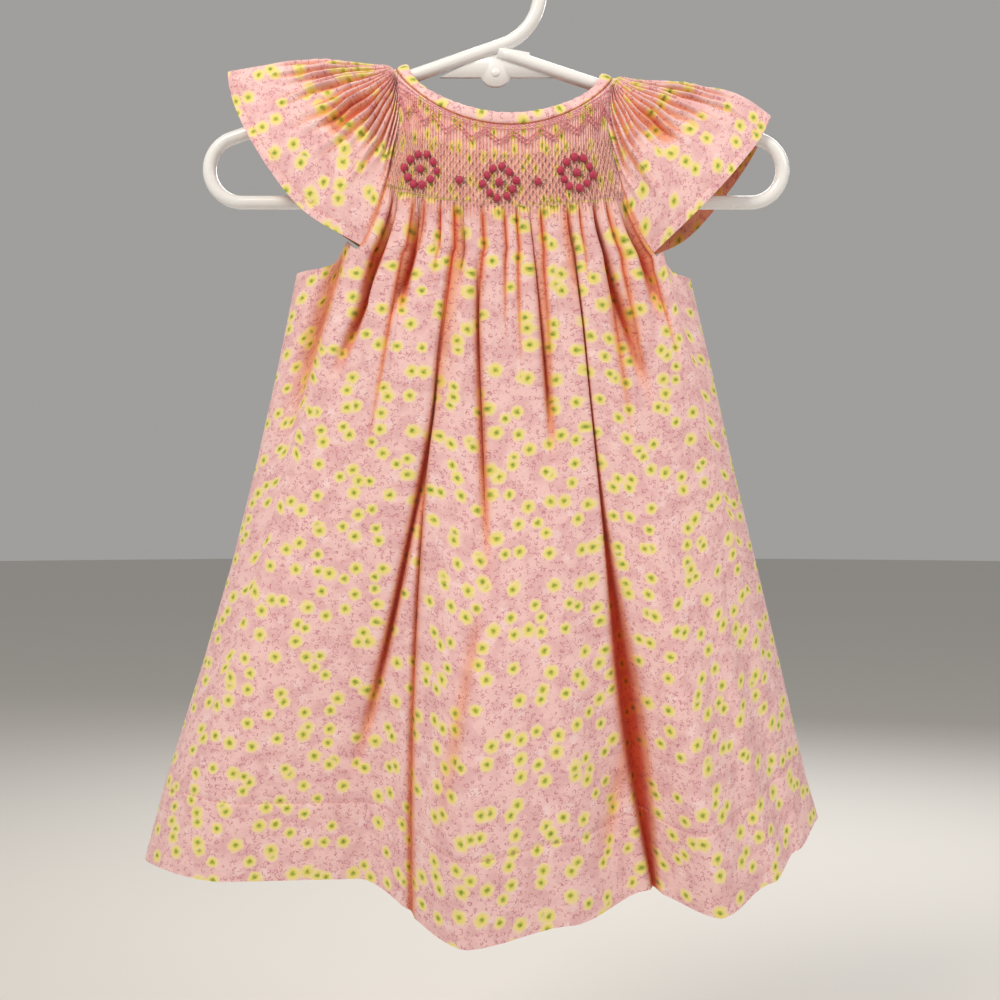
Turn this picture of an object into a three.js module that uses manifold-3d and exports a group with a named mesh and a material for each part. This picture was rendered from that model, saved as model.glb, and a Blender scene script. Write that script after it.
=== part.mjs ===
// A smocked baby dress on a moulded hanger, in millimetres. +X is right as seen from the front,
// the front faces -Y, +Z is up, and the origin is at the inner top of the hook.

import * as THREE from 'three';
import { mergeVertices } from 'three/addons/utils/BufferGeometryUtils.js';
import Module from 'manifold-3d';

const { lerp, smoothstep, clamp, degToRad } = THREE.MathUtils;
const FRONT = -1;
const BACK = 1;
const LEFT = -1;
const RIGHT = 1;

// Cloth walls, measured from their middle surface
const CLOTH_HALF = 0.6;
const HEM_EXTRA = 0.8;
const HEM_DEPTH = 38;
const SKIRT_TOP_Z = -150;
const SKIRT_LENGTH = 310;
const SEAM_HALF_GAP = 0.2;

// Hanger: a moulded tube in the plane y = 0, with a web plate under its apex
const HANGER = {
  tube: 3.5,
  sides: 8,
  hook: { x: 0.3, z: -18.5, radius: 22, from: 184, to: -6 },
  stem: { x: -6.9, z: -18.4, radius: 29.1, from: 0, to: -71.4 },
  leftArm: { fromX: 2.4, fromZ: -46, toX: -135.2, toZ: -93.4 },
  rightArm: { fromX: 1, fromZ: -49.5, toX: 135.2, toZ: -94.2 },
  endX: 129.6,
  barZ: -126.2,
  lap: 4,
  lapShrink: 0.05,
  web: { half: 1.2, z: -62.4, left: -29, right: 29.4, tabHalf: 6.7, tabZ: -67.1, apexZ: -48, corner: 2 },
  boss: { x: -0.5, z: -60.1, radius: 2.3, proud: 0.9 },
  fin: { half: 0.8, fromX: 6, fromZ: -50, tipX: 17, tipZ: -49.6, footZ: -54.8, rise: 2 },
  steps: { hook: 16, stem: 7, end: 9, boss: 16 },
};

// Neck ring: a tilted oval, the seam between the gathered cloth and the binding
const NECK = {
  x: 4,
  halfWidth: 54.9,
  front: { reach: 22, drop: 30.6 },
  back: { reach: 22, drop: 21.5 },
  planPower: 0.8,
  dropPower: 1.5,
};
const BINDING = {
  width: 6.5, half: 1.1, crown: 1.4, steps: 60, seat: 0.55, frontLean: 5, sideLean: 70.7,
  crownFrom: 0.25, crownTo: 0.8, innerEdge: 0.9, backGapAngle: 0.4,
};

// Raglan seams: their angle on the ring from each shoulder, how far they turn to the side at the
// bottom, and by which share of their length they have turned
const RAGLAN_ANGLE = 14;
const RAGLAN_TURN = { sideways: 0.25, by: 0.5 };

// Outline of the body: the side seams at a few heights
const SECTIONS = [
  { z: -120, left: -101.4, right: 97.8, seamY: 0 },
  { z: -163, left: -101.4, right: 97.8, seamY: 0 },
  { z: -212, left: -111.3, right: 109.5, seamY: 1.5 },
  { z: -260, left: -122, right: 120.5, seamY: 4 },
  { z: -309, left: -134, right: 132.4, seamY: 6 },
  { z: -360, left: -148.8, right: 145, seamY: 9 },
  { z: -421, left: -168, right: 159.5, seamY: 11.5 },
  { z: -500, left: -189, right: 183, seamY: 13 },
];

// The top of the skirt: the shares across where the sleeves start, and the heights of those corners,
// of the armhole's peak behind the sleeve and of the side seams
const FRONT_TOP = {
  side: FRONT, pleats: 42, depth: 27, lowDepth: 38,
  corner: [0.168, 0.908], cornerZ: [-152.5, -155.5], peakZ: [-148.5, -153.5], seamZ: [-163, -165.6],
};
const BACK_TOP = {
  side: BACK, pleats: 20, depth: 20, lowDepth: 27,
  corner: [0.17, 0.905], cornerZ: [-151, -154], peakZ: [-149, -154], seamZ: [-163, -165.6],
};

// The armhole's edge from the side seam (share 0) to the sleeve's corner (share 1), and how far each
// station has risen from the seam's height to the peak
const ARMHOLE = [
  { share: 0, rise: 0 },
  { share: 0.36, rise: 0.08 },
  { share: 0.6, rise: 0.25 },
  { share: 0.72, rise: 0.62 },
  { share: 0.8, rise: 1 },
];

// Hem in plan: how far each station across stands out from the side seams, and its height
const FRONT_HEM = [
  { across: 0, out: 22, z: -460 },
  { across: 0.126, out: 36, z: -464.5 },
  { across: 0.32, out: 30, z: -465 },
  { across: 0.47, out: 68, z: -490 },
  { across: 0.61, out: 60, z: -481 },
  { across: 0.72, out: 37, z: -470 },
  { across: 0.81, out: 54, z: -480 },
  { across: 0.895, out: 38, z: -467 },
  { across: 0.945, out: 24, z: -454.5 },
  { across: 1, out: 16, z: -442 },
];
const BACK_HEM = [
  { across: 0, out: 18, z: -460 },
  { across: 0.15, out: 30, z: -464 },
  { across: 0.28, out: 19, z: -458 },
  { across: 0.4, out: 36, z: -466 },
  { across: 0.52, out: 24, z: -461 },
  { across: 0.65, out: 38, z: -466 },
  { across: 0.78, out: 22, z: -457 },
  { across: 0.9, out: 27, z: -453 },
  { across: 1, out: 20, z: -442 },
];

// Hanging folds as troughs: a line from top to bottom, bowed sideways, its depth, its widths to the
// left and to the right, and the share of its length over which it fades out (0 runs to the hem)
const FRONT_FOLDS = [
  { fromX: -70, fromZ: -138, toX: -110, toZ: -265, bow: 0, deep: 8, left: 12, right: 6, fade: 0.6 },
  { fromX: -43, fromZ: -131, toX: -84, toZ: -225, bow: 2, deep: 7, left: 7, right: 6, fade: 0.5 },
  { fromX: -22, fromZ: -180, toX: -40, toZ: -480, bow: -6.5, deep: 11, left: 17, right: 5.5, fade: 0 },
  { fromX: -10, fromZ: -160, toX: -3, toZ: -335, bow: 0, deep: 5, left: 5, right: 5, fade: 0.5 },
  { fromX: 14, fromZ: -140, toX: 29, toZ: -268, bow: 0, deep: 7, left: 6, right: 5.5, fade: 0.4 },
  { fromX: 36, fromZ: -141, toX: 79, toZ: -480, bow: -4, deep: 12, left: 6, right: 8, fade: 0 },
  { fromX: 44, fromZ: -131, toX: 78, toZ: -235, bow: -2, deep: 6, left: 6, right: 7, fade: 0.5 },
  { fromX: 66, fromZ: -135, toX: 88, toZ: -205, bow: 0, deep: 7, left: 7, right: 9, fade: 0.5 },
];
const BACK_FOLDS = [
  { fromX: -62, fromZ: -138, toX: -112, toZ: -300, bow: 0, deep: 6, left: 9, right: 6, fade: 0.5 },
  { fromX: -36, fromZ: -134, toX: -66, toZ: -475, bow: 4, deep: 8, left: 10, right: 7, fade: 0 },
  { fromX: -16, fromZ: -138, toX: -22, toZ: -300, bow: 0, deep: 4, left: 6, right: 6, fade: 0.5 },
  { fromX: 22, fromZ: -138, toX: 30, toZ: -330, bow: 0, deep: 4, left: 6, right: 6, fade: 0.5 },
  { fromX: 44, fromZ: -134, toX: 86, toZ: -475, bow: -4, deep: 8, left: 7, right: 10, fade: 0 },
  { fromX: 68, fromZ: -138, toX: 108, toZ: -290, bow: 0, deep: 6, left: 6, right: 9, fade: 0.5 },
];

// Sleeves: the hem runs from the front seam over the shoulder ridge to the back seam
const SLEEVE_PLEATS = { front: 16, back: 10 };
const LEFT_SLEEVE = {
  name: 'sleeve_left', hand: LEFT, arch: 4, archPower: 1.3,
  front: [{ x: -96, y: -21, z: -134 }, { x: -118, y: -17, z: -106 }, { x: -133, y: -9, z: -77 }],
  ridge: { x: -136.5, y: 0, z: -60 },
  back: [{ x: -131, y: 9, z: -80 }, { x: -115, y: 16, z: -109 }, { x: -94, y: 18, z: -134 }],
};
const RIGHT_SLEEVE = {
  name: 'sleeve_right', hand: RIGHT, arch: 8, archPower: 2,
  front: [{ x: 97, y: -20, z: -137 }, { x: 117, y: -16, z: -116 }, { x: 134, y: -8, z: -94 }],
  ridge: { x: 139.5, y: 0, z: -82.6 },
  back: [{ x: 133, y: 8, z: -99 }, { x: 119, y: 13, z: -120 }, { x: 99, y: 17, z: -142 }],
};

// Share of the hem's width over which the cloth turns round each side seam, how much the hem's waves
// are eased, and how far the sleeve's corner tucks under
const SEAM_ROUND = 0.07;
const HEM_EASE = 0.75;
const CORNER_TUCK = 1;

// A fold is narrower at its top and grows to its full depth over its first share
const FOLD = { topWidth: 0.65, entry: 0.22 };

// Rows down each piece, as shares of its length
const YOKE_ROWS = [0, 0.18, 0.36, 0.55, 0.74, 0.87, 1];
const SKIRT_ROWS = [0, 0.04, 0.09, 0.15, 0.22, 0.3, 0.4, 0.52, 0.69, 1 - HEM_DEPTH / SKIRT_LENGTH, 1];

// Columns from a side seam to the sleeve's corner, the share of them left at the hem, and how soon
// the columns fan out below the yoke
const SIDE_TOP = [0, 0.04, 0.16, 0.36, 0.6, 0.72, 0.8];
const SIDE_SHARE_AT_HEM = 0.3;
const FAN_POWER = 0.5;

// The yoke's columns drop almost straight from the neck, then swing out to the skirt
const YOKE = { swingPower: 3, bellyPower: 2.5 };
const SKIRT = { waveFrom: 0.15, wavePower: 1.3, deepest: 15, flatSides: [0.15, 0.6] };
const SEAM_BLEND = 5;
const PLAIN_COLUMNS = 3;

// Gathers: their relief, the shares of the length over which they rise and sink, and what is left
// of them at the yoke's foot and one row below it
const PLEATS = { relief: 1.2, rise: [0.02, 0.12], sink: [0.75, 1], left: 0.4, leftBelow: 0.4 };
const SLEEVE = {
  relief: 1.7, rise: [0.02, 0.2], sink: [0.6, 0.95], end: 0.985, edgeSwing: 2, flutter: 2.2, waves: 2.5,
};

// Back fastening
const PLACKET = { half: 8, thick: 1.2, lift: 0.3, rows: 5, columns: 4, from: 0.02 };
const BUTTON = {
  radius: 4.8, thick: 2.4, rim: 0.6, lift: 0.6, sides: 20, at: [0.12, 0.5, 0.88],
  foot: 0.85, bevel: 0.35, rimFrom: 0.72, dishTo: 0.6,
};

const COLORS = { cloth: 0xf0b9b4, binding: 0xf2c0bc, hanger: 0xe9ecee, button: 0xf6e9e4 };
const ROUGHNESS = { cloth: 0.85, plastic: 0.35 };

const UP = new THREE.Vector3(0, 0, 1);
const wasm = await Module();
wasm.setup();

function armHeight(arm, x) {
  return lerp(arm.fromZ, arm.toZ, (x - arm.fromX) / (arm.toX - arm.fromX));
}

// The ring lies on the hanger's arms at the shoulders, a seat's gap above each tube
function shoulderHeight(arm, x) {
  const slope = (arm.toZ - arm.fromZ) / (arm.toX - arm.fromX);
  return armHeight(arm, x) + (HANGER.tube + BINDING.seat + BINDING.half) * Math.hypot(1, slope);
}
const NECK_LEFT_Z = shoulderHeight(HANGER.leftArm, NECK.x - NECK.halfWidth);
const NECK_RIGHT_Z = shoulderHeight(HANGER.rightArm, NECK.x + NECK.halfWidth);

// Ring angle: 0 at the left shoulder, 90 at the front, 180 at the right shoulder, 270 at the back
function neckPoint(angle) {
  const side = Math.sin(angle);
  const along = Math.cos(angle);
  const half = side >= 0 ? NECK.front : NECK.back;
  const shoulder = lerp(NECK_LEFT_Z, NECK_RIGHT_Z, (1 - along) / 2);
  return new THREE.Vector3(
    NECK.x - NECK.halfWidth * along,
    -Math.sign(side) * half.reach * Math.abs(side) ** NECK.planPower,
    shoulder - half.drop * Math.abs(side) ** NECK.dropPower,
  );
}

// Frame on the ring: along it, across the binding towards the neck, and out through the cloth
function neckFrame(angle) {
  const step = 0.01;
  const along = neckPoint(angle + step).sub(neckPoint(angle - step)).normalize();
  const inward = new THREE.Vector3(-along.y, along.x, 0).normalize();
  const shoulder = Math.cos(angle) ** 2;
  const lean = degToRad(lerp(BINDING.frontLean, BINDING.sideLean, shoulder));
  const across = UP.clone().multiplyScalar(Math.cos(lean)).addScaledVector(inward, Math.sin(lean));
  across.addScaledVector(along, -across.dot(along)).normalize();
  return { point: neckPoint(angle), along, across, out: along.clone().cross(across) };
}

function interpolateRow(rows, key, at, name) {
  const ascending = rows[rows.length - 1][key] > rows[0][key];
  let k = 1;
  while (k < rows.length - 1 && (ascending ? rows[k][key] < at : rows[k][key] > at)) k += 1;
  const share = clamp((at - rows[k - 1][key]) / (rows[k][key] - rows[k - 1][key]), 0, 1);
  return lerp(rows[k - 1][name], rows[k][name], share);
}

// Smooth version for the wavy hem: each stretch across eases in and out
function hemValue(hem, across, name) {
  let k = 1;
  while (k < hem.length - 1 && hem[k].across < across) k += 1;
  const share = clamp((across - hem[k - 1].across) / (hem[k].across - hem[k - 1].across), 0, 1);
  return lerp(hem[k - 1][name], hem[k][name], lerp(share, smoothstep(share, 0, 1), HEM_EASE));
}

function foldDepth(fold, x, z) {
  const down = (fold.fromZ - z) / (fold.fromZ - fold.toZ);
  if (down <= 0 || down >= 1) return 0;
  const line = lerp(fold.fromX, fold.toX, down) + fold.bow * 4 * down * (1 - down);
  const width = (x < line ? fold.left : fold.right) * lerp(FOLD.topWidth, 1, down);
  const fadeIn = smoothstep(down, 0, FOLD.entry);
  const fadeOut = fold.fade > 0 ? 1 - smoothstep(down, 1 - fold.fade, 1) : 1;
  return fold.deep * fadeIn * fadeOut * Math.exp(-(((x - line) / width) ** 2));
}

function seamRounding(across) {
  const share = Math.min(1, Math.min(across, 1 - across) / SEAM_ROUND);
  return Math.sqrt(Math.max(0, 1 - (1 - share) ** 2));
}

// How far the cloth stands out from the plane of the side seams
function skirtOut(top, hem, folds, across, x, z) {
  const oval = Math.sqrt(Math.max(0, 1 - (2 * across - 1) ** 2));
  const down = clamp((SKIRT_TOP_Z - z) / SKIRT_LENGTH, 0, 1);
  const upper = lerp(top.depth, top.lowDepth, down) * oval;
  const wave = smoothstep(down, SKIRT.waveFrom, 1) ** SKIRT.wavePower;
  const lower = hemValue(hem, across, 'out') * seamRounding(across);
  const base = lerp(upper, lower, wave);
  const edge = smoothstep(oval, ...SKIRT.flatSides);
  const sunk = folds.reduce((sum, fold) => sum + foldDepth(fold, x, z), 0);
  return base - Math.min(sunk, SKIRT.deepest) * edge;
}

// One column of the skirt: its share across at the top and at the hem, and its top height
function skirtColumn(top, across) {
  const [cornerLeft, cornerRight] = top.corner;
  const hand = across < cornerLeft ? 0 : 1;
  if (across >= cornerLeft && across <= cornerRight) {
    const share = (across - cornerLeft) / (cornerRight - cornerLeft);
    const sideLeft = cornerLeft * SIDE_SHARE_AT_HEM;
    const sideRight = 1 - (1 - cornerRight) * SIDE_SHARE_AT_HEM;
    return { hemAcross: lerp(sideLeft, sideRight, share), topZ: lerp(...top.cornerZ, share) };
  }
  const reach = hand === 0 ? cornerLeft : 1 - cornerRight;
  const share = (hand === 0 ? across : 1 - across) / reach;
  const peak = interpolateRow(ARMHOLE, 'share', share, 'rise');
  const fall = smoothstep(share, ARMHOLE[ARMHOLE.length - 1].share, 1);
  const rise = lerp(top.seamZ[hand], top.peakZ[hand], peak);
  const hemShare = share * reach * SIDE_SHARE_AT_HEM;
  return {
    hemAcross: hand === 0 ? hemShare : 1 - hemShare,
    topZ: lerp(rise, top.cornerZ[hand] - CORNER_TUCK, fall),
  };
}

function skirtPoint(top, hem, folds, across, down) {
  const column = skirtColumn(top, across);
  const here = lerp(across, column.hemAcross, down ** FAN_POWER);
  const hemZ = hemValue(hem, column.hemAcross, 'z');
  const z = lerp(column.topZ, hemZ, down);
  const x = lerp(interpolateRow(SECTIONS, 'z', z, 'left'), interpolateRow(SECTIONS, 'z', z, 'right'), here);
  const seamY = interpolateRow(SECTIONS, 'z', z, 'seamY') * here;
  const out = skirtOut(top, hem, folds, here, x, z);
  return new THREE.Vector3(x, seamY + top.side * out, z);
}

// The yoke hangs from the neck ring: its columns drop nearly straight, then fan out to the skirt
function yokePoint(top, hem, folds, share, down) {
  const from = degToRad(RAGLAN_ANGLE);
  const turn = lerp(from, Math.PI - from, share);
  const frame = neckFrame(top.side === FRONT ? turn : 2 * Math.PI - turn);
  const start = frame.point.addScaledVector(frame.across, -SEAM_HALF_GAP);
  const foot = skirtPoint(top, hem, folds, lerp(...top.corner, share), 0);
  return new THREE.Vector3(
    lerp(start.x, foot.x, down ** YOKE.swingPower),
    lerp(start.y, foot.y, 1 - (1 - down) ** YOKE.bellyPower),
    lerp(start.z, foot.z, down),
  );
}

// The raglan seam: the edge of the yoke, its direction out through the cloth and its way inward
function raglanFrame(top, hem, folds, hand, down) {
  const share = hand === LEFT ? 0 : 1;
  const step = 0.02;
  const point = yokePoint(top, hem, folds, share, down);
  const below = yokePoint(top, hem, folds, share, Math.min(down + step, 1));
  const above = yokePoint(top, hem, folds, share, Math.max(down - step, 0));
  const along = below.sub(above).normalize();
  const angle = degToRad(hand === LEFT ? RAGLAN_ANGLE : 180 - RAGLAN_ANGLE);
  const first = neckFrame(top.side === FRONT ? angle : 2 * Math.PI - angle).out;
  const last = new THREE.Vector3(hand * RAGLAN_TURN.sideways, top.side, 0).normalize();
  const out = first.lerp(last, smoothstep(down, 0, RAGLAN_TURN.by));
  out.addScaledVector(along, -out.dot(along)).normalize();
  const inward = along.clone().cross(out).normalize();
  if (inward.x * hand > 0) inward.negate();
  return { point, out, inward };
}

// A closed wall over a grid of nodes: node = { point, out, outer, inner }, or null where there is
// no cloth. Each node gives a point of the outer face and one of the inner face.
function wallGeometry(rows, flip) {
  const position = [];
  const ids = rows.map((row) => row.map((node) => {
    if (!node) return -1;
    const outer = node.point.clone().addScaledVector(node.out, node.outer);
    const inner = node.point.clone().addScaledVector(node.out, -node.inner);
    position.push(...outer.toArray(), ...inner.toArray());
    return position.length / 3 - 2;
  }));
  const index = [];
  const edges = new Map();
  const addEdge = (a, b) => {
    if (!edges.delete(`${b} ${a}`)) edges.set(`${a} ${b}`, [a, b]);
  };
  for (let j = 0; j + 1 < ids.length; j += 1) {
    for (let i = 0; i + 1 < ids[j].length; i += 1) {
      const cell = [ids[j][i], ids[j][i + 1], ids[j + 1][i + 1], ids[j + 1][i]];
      if (cell.includes(-1)) continue;
      if (flip) cell.reverse();
      const [a, b, c, d] = cell;
      index.push(a, b, c, a, c, d, a + 1, c + 1, b + 1, a + 1, d + 1, c + 1);
      addEdge(a, b);
      addEdge(b, c);
      addEdge(c, d);
      addEdge(d, a);
    }
  }
  for (const [a, b] of edges.values()) index.push(b, a, a + 1, b, a + 1, b + 1);
  const geometry = new THREE.BufferGeometry();
  geometry.setAttribute('position', new THREE.Float32BufferAttribute(position, 3));
  geometry.setIndex(index);
  geometry.computeVertexNormals();
  return geometry;
}

// Normals of a grid of points by central differences, pointing out on the given side
function gridNormals(points, side) {
  const pick = (j, i, fallback) => points[j]?.[i] ?? fallback;
  return points.map((row, j) => row.map((point, i) => {
    if (!point) return null;
    const across = pick(j, i + 1, point).clone().sub(pick(j, i - 1, point));
    const down = pick(j + 1, i, point).clone().sub(pick(j - 1, i, point));
    return across.cross(down).normalize().multiplyScalar(side);
  }));
}

// Nodes beside a seam turn gradually to the seam's own direction, so that the walls never cross
function blendSeam(row, edge, inwardStep, seamOut) {
  row[edge].out = seamOut.clone();
  row[edge].outer = CLOTH_HALF;
  for (let k = 1; k < SEAM_BLEND; k += 1) {
    const node = row[edge + k * inwardStep];
    node.out = seamOut.clone().lerp(node.out, k / SEAM_BLEND).normalize();
    node.outer = lerp(CLOTH_HALF, node.outer, k / SEAM_BLEND);
  }
}

// Relief of the gathers on the outer face: every second column stands proud
function pleatRelief(column, down) {
  const sunk = lerp(1, PLEATS.left, smoothstep(down, ...PLEATS.sink));
  return column % 2 === 1 ? PLEATS.relief * smoothstep(down, ...PLEATS.rise) * sunk : 0;
}

// A body panel as one grid: a gathered yoke block on top of a wider skirt block
function panelGrid(top, hem, folds) {
  const sideLeft = SIDE_TOP.map((share) => share * top.corner[0]);
  const sideRight = SIDE_TOP.map((share) => 1 - share * (1 - top.corner[1])).reverse();
  const count = top.pleats * 2;
  const gathered = Array.from({ length: count + 1 }, (_, i) => lerp(...top.corner, i / count));
  const columns = [...sideLeft, ...gathered, ...sideRight];
  const first = sideLeft.length;
  const isYoke = (i) => i >= first && i <= first + count;
  const shareOf = (i) => (i - first) / count;
  const yoke = YOKE_ROWS.slice(0, -1).map((down) => columns.map((_, i) => (
    isYoke(i) ? yokePoint(top, hem, folds, shareOf(i), down) : null)));
  const skirt = SKIRT_ROWS.map((down) => columns.map((across) => (
    skirtPoint(top, hem, folds, across, down))));
  const points = [...yoke, ...skirt];
  const normals = gridNormals(points, top.side);
  const hemRow = points.length - 2;
  const grid = points.map((row, j) => row.map((point, i) => {
    if (!point) return null;
    const down = j < YOKE_ROWS.length ? YOKE_ROWS[j] : 1;
    const relief = isYoke(i) && j <= YOKE_ROWS.length ? pleatRelief(i - first, down) : 0;
    const outer = CLOTH_HALF + relief * (j === YOKE_ROWS.length ? PLEATS.leftBelow : 1);
    const inner = CLOTH_HALF + (j >= hemRow ? HEM_EXTRA : 0);
    return { point, out: normals[j][i], outer, inner };
  }));
  // The side seams face sideways, and each half stops short of the seam
  for (const row of grid.slice(YOKE_ROWS.length - 1)) {
    for (const node of [row[0], row[row.length - 1]]) {
      node.out.y = 0;
      node.out.normalize();
      node.point.y += top.side * SEAM_HALF_GAP;
    }
  }
  // The neck and the raglan seams share their neighbours' directions
  YOKE_ROWS.forEach((down, j) => {
    for (const hand of [LEFT, RIGHT]) {
      const edge = hand === LEFT ? first : first + count;
      const frame = raglanFrame(top, hem, folds, hand, down);
      blendSeam(grid[j], edge, -hand, frame.out);
      grid[j][edge].point.addScaledVector(frame.inward, SEAM_HALF_GAP);
    }
  });
  for (let i = first; i <= first + count; i += 1) {
    const turn = lerp(degToRad(RAGLAN_ANGLE), Math.PI - degToRad(RAGLAN_ANGLE), shareOf(i));
    grid[0][i].out = neckFrame(top.side === FRONT ? turn : 2 * Math.PI - turn).out;
  }
  return { grid, middle: first + count / 2 };
}

function clothMesh(name, geometry, color) {
  const material = new THREE.MeshStandardMaterial({ color, roughness: ROUGHNESS.cloth, metalness: 0 });
  const mesh = new THREE.Mesh(geometry, material);
  mesh.name = name;
  return mesh;
}

function frontPanel() {
  const { grid } = panelGrid(FRONT_TOP, FRONT_HEM, FRONT_FOLDS);
  return clothMesh('front_panel', wallGeometry(grid, true), COLORS.cloth);
}

// The back is one grid parted at the centre; the pleats stop beside the opening
function backPanels() {
  const { grid, middle } = panelGrid(BACK_TOP, BACK_HEM, BACK_FOLDS);
  for (const row of grid) {
    for (let i = middle - PLAIN_COLUMNS; i <= middle + PLAIN_COLUMNS; i += 1) {
      if (row[i]) row[i].outer = CLOTH_HALF;
    }
  }
  const half = (hand) => grid.map((row) => {
    const part = hand === LEFT ? row.slice(0, middle + 1) : row.slice(middle);
    const edge = hand === LEFT ? part.length - 1 : 0;
    const node = part[edge];
    const moved = { ...node, point: node.point.clone(), out: new THREE.Vector3(0, node.out.y, node.out.z) };
    moved.point.x += hand * SEAM_HALF_GAP;
    moved.out.normalize();
    part[edge] = moved;
    return part;
  });
  return [
    clothMesh('back_left', wallGeometry(half(LEFT), false), COLORS.cloth),
    clothMesh('back_right', wallGeometry(half(RIGHT), false), COLORS.cloth),
  ];
}

// A sleeve is a fan of columns from the neck ring to its hem, over the shoulder ridge
function sleeveMesh(spec) {
  const ends = [
    raglanFrame(FRONT_TOP, FRONT_HEM, FRONT_FOLDS, spec.hand, 1).point,
    raglanFrame(BACK_TOP, BACK_HEM, BACK_FOLDS, spec.hand, 1).point,
  ];
  const hemRows = [ends[0], ...spec.front, spec.ridge, ...spec.back, ends[1]];
  const hemLine = new THREE.CatmullRomCurve3(hemRows.map(({ x, y, z }) => new THREE.Vector3(x, y, z)));
  const frontColumns = SLEEVE_PLEATS.front * 2;
  const count = frontColumns + SLEEVE_PLEATS.back * 2;
  const shares = Array.from({ length: count + 1 }, (_, i) => (
    i <= frontColumns ? i / frontColumns - 1 : (i - frontColumns) / (count - frontColumns)));
  const shoulder = spec.hand === LEFT ? 0 : Math.PI;
  const points = YOKE_ROWS.map((down) => shares.map((share) => {
    const turn = degToRad(RAGLAN_ANGLE) * -share * (spec.hand === LEFT ? 1 : -1);
    const frame = neckFrame(shoulder + turn);
    const start = frame.point.addScaledVector(frame.across, -SEAM_HALF_GAP);
    const foot = hemLine.getPoint((share + 1) / 2);
    const bend = Math.abs(share);
    const reach = down ** (1 + SLEEVE.edgeSwing * bend ** 3);
    const arch = spec.arch * Math.sin(Math.PI * down ** spec.archPower) * (1 - bend) ** 2;
    const wave = Math.sin(2 * Math.PI * SLEEVE.waves * bend) * Math.sign(share);
    const flutter = SLEEVE.flutter * wave * down ** 3 * (1 - bend);
    return new THREE.Vector3(
      lerp(start.x, foot.x, reach),
      lerp(start.y, foot.y, 1 - (1 - down) ** YOKE.bellyPower) + flutter,
      lerp(start.z, foot.z, down) + arch,
    );
  }));
  const normals = gridNormals(points, -spec.hand);
  const grid = points.map((row, j) => row.map((point, i) => {
    const down = YOKE_ROWS[j];
    const fade = smoothstep(down, ...SLEEVE.rise) * (1 - smoothstep(down, ...SLEEVE.sink));
    const outer = CLOTH_HALF + (i % 2 === 1 ? SLEEVE.relief * fade : 0);
    const angle = shoulder + degToRad(RAGLAN_ANGLE) * -shares[i] * (spec.hand === LEFT ? 1 : -1);
    return { point, out: j === 0 ? neckFrame(angle).out : normals[j][i], outer, inner: CLOTH_HALF };
  }));
  // Both raglan edges follow the body's seams, just outside them
  YOKE_ROWS.forEach((down, j) => {
    for (const top of [FRONT_TOP, BACK_TOP]) {
      const isFront = top.side === FRONT;
      const hem = isFront ? FRONT_HEM : BACK_HEM;
      const folds = isFront ? FRONT_FOLDS : BACK_FOLDS;
      const frame = raglanFrame(top, hem, folds, spec.hand, down * SLEEVE.end);
      const edge = isFront ? 0 : count;
      blendSeam(grid[j], edge, isFront ? 1 : -1, frame.out);
      grid[j][edge].point = frame.point.addScaledVector(frame.inward, -SEAM_HALF_GAP);
    }
  });
  return clothMesh(spec.name, wallGeometry(grid, spec.hand === RIGHT), COLORS.cloth);
}

// The binding: a crowned strip carried round the ring, open at the centre back
function neckBinding() {
  const { width, half, crown, steps, crownFrom, crownTo, innerEdge } = BINDING;
  const section = [
    { across: SEAM_HALF_GAP, out: -half },
    { across: SEAM_HALF_GAP, out: half },
    { across: width * crownFrom, out: crown },
    { across: width * crownTo, out: crown },
    { across: width, out: 0 },
    { across: width * innerEdge, out: -half },
  ];
  const gap = degToRad(BINDING.backGapAngle);
  const position = [];
  const index = [];
  const sides = section.length;
  for (let i = 0; i <= steps; i += 1) {
    const frame = neckFrame(lerp(-Math.PI / 2 + gap, 1.5 * Math.PI - gap, i / steps));
    for (const { across, out } of section) {
      const point = frame.point.clone().addScaledVector(frame.across, across);
      position.push(...point.addScaledVector(frame.out, out).toArray());
    }
  }
  for (let i = 0; i < steps; i += 1) {
    for (let k = 0; k < sides; k += 1) {
      const a = i * sides + k;
      const b = i * sides + ((k + 1) % sides);
      index.push(a, a + sides, b, b, a + sides, b + sides);
    }
  }
  const last = steps * sides;
  for (let k = 1; k + 1 < sides; k += 1) {
    index.push(0, k, k + 1, last, last + k + 1, last + k);
  }
  const geometry = new THREE.BufferGeometry();
  geometry.setAttribute('position', new THREE.Float32BufferAttribute(position, 3));
  geometry.setIndex(index);
  geometry.computeVertexNormals();
  return clothMesh('neck_binding', geometry, COLORS.binding);
}

// The placket lies on the back at the centre, made from the panel's points moved out
function placketNode(acrossMM, down) {
  const width = 2 * NECK.halfWidth;
  const share = 0.5 + acrossMM / width;
  const point = yokePoint(BACK_TOP, BACK_HEM, BACK_FOLDS, share, down);
  const lift = CLOTH_HALF + PLACKET.lift;
  return { point, out: new THREE.Vector3(0, 1, 0), outer: lift + PLACKET.thick, inner: -lift };
}

function backPlacket() {
  const rows = Array.from({ length: PLACKET.rows + 1 }, (_, j) => (
    Array.from({ length: PLACKET.columns + 1 }, (_, i) => (
      placketNode(lerp(-PLACKET.half, PLACKET.half, i / PLACKET.columns),
        lerp(PLACKET.from, 1, j / PLACKET.rows))))));
  return clothMesh('back_placket', wallGeometry(rows, false), COLORS.cloth);
}

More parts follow.
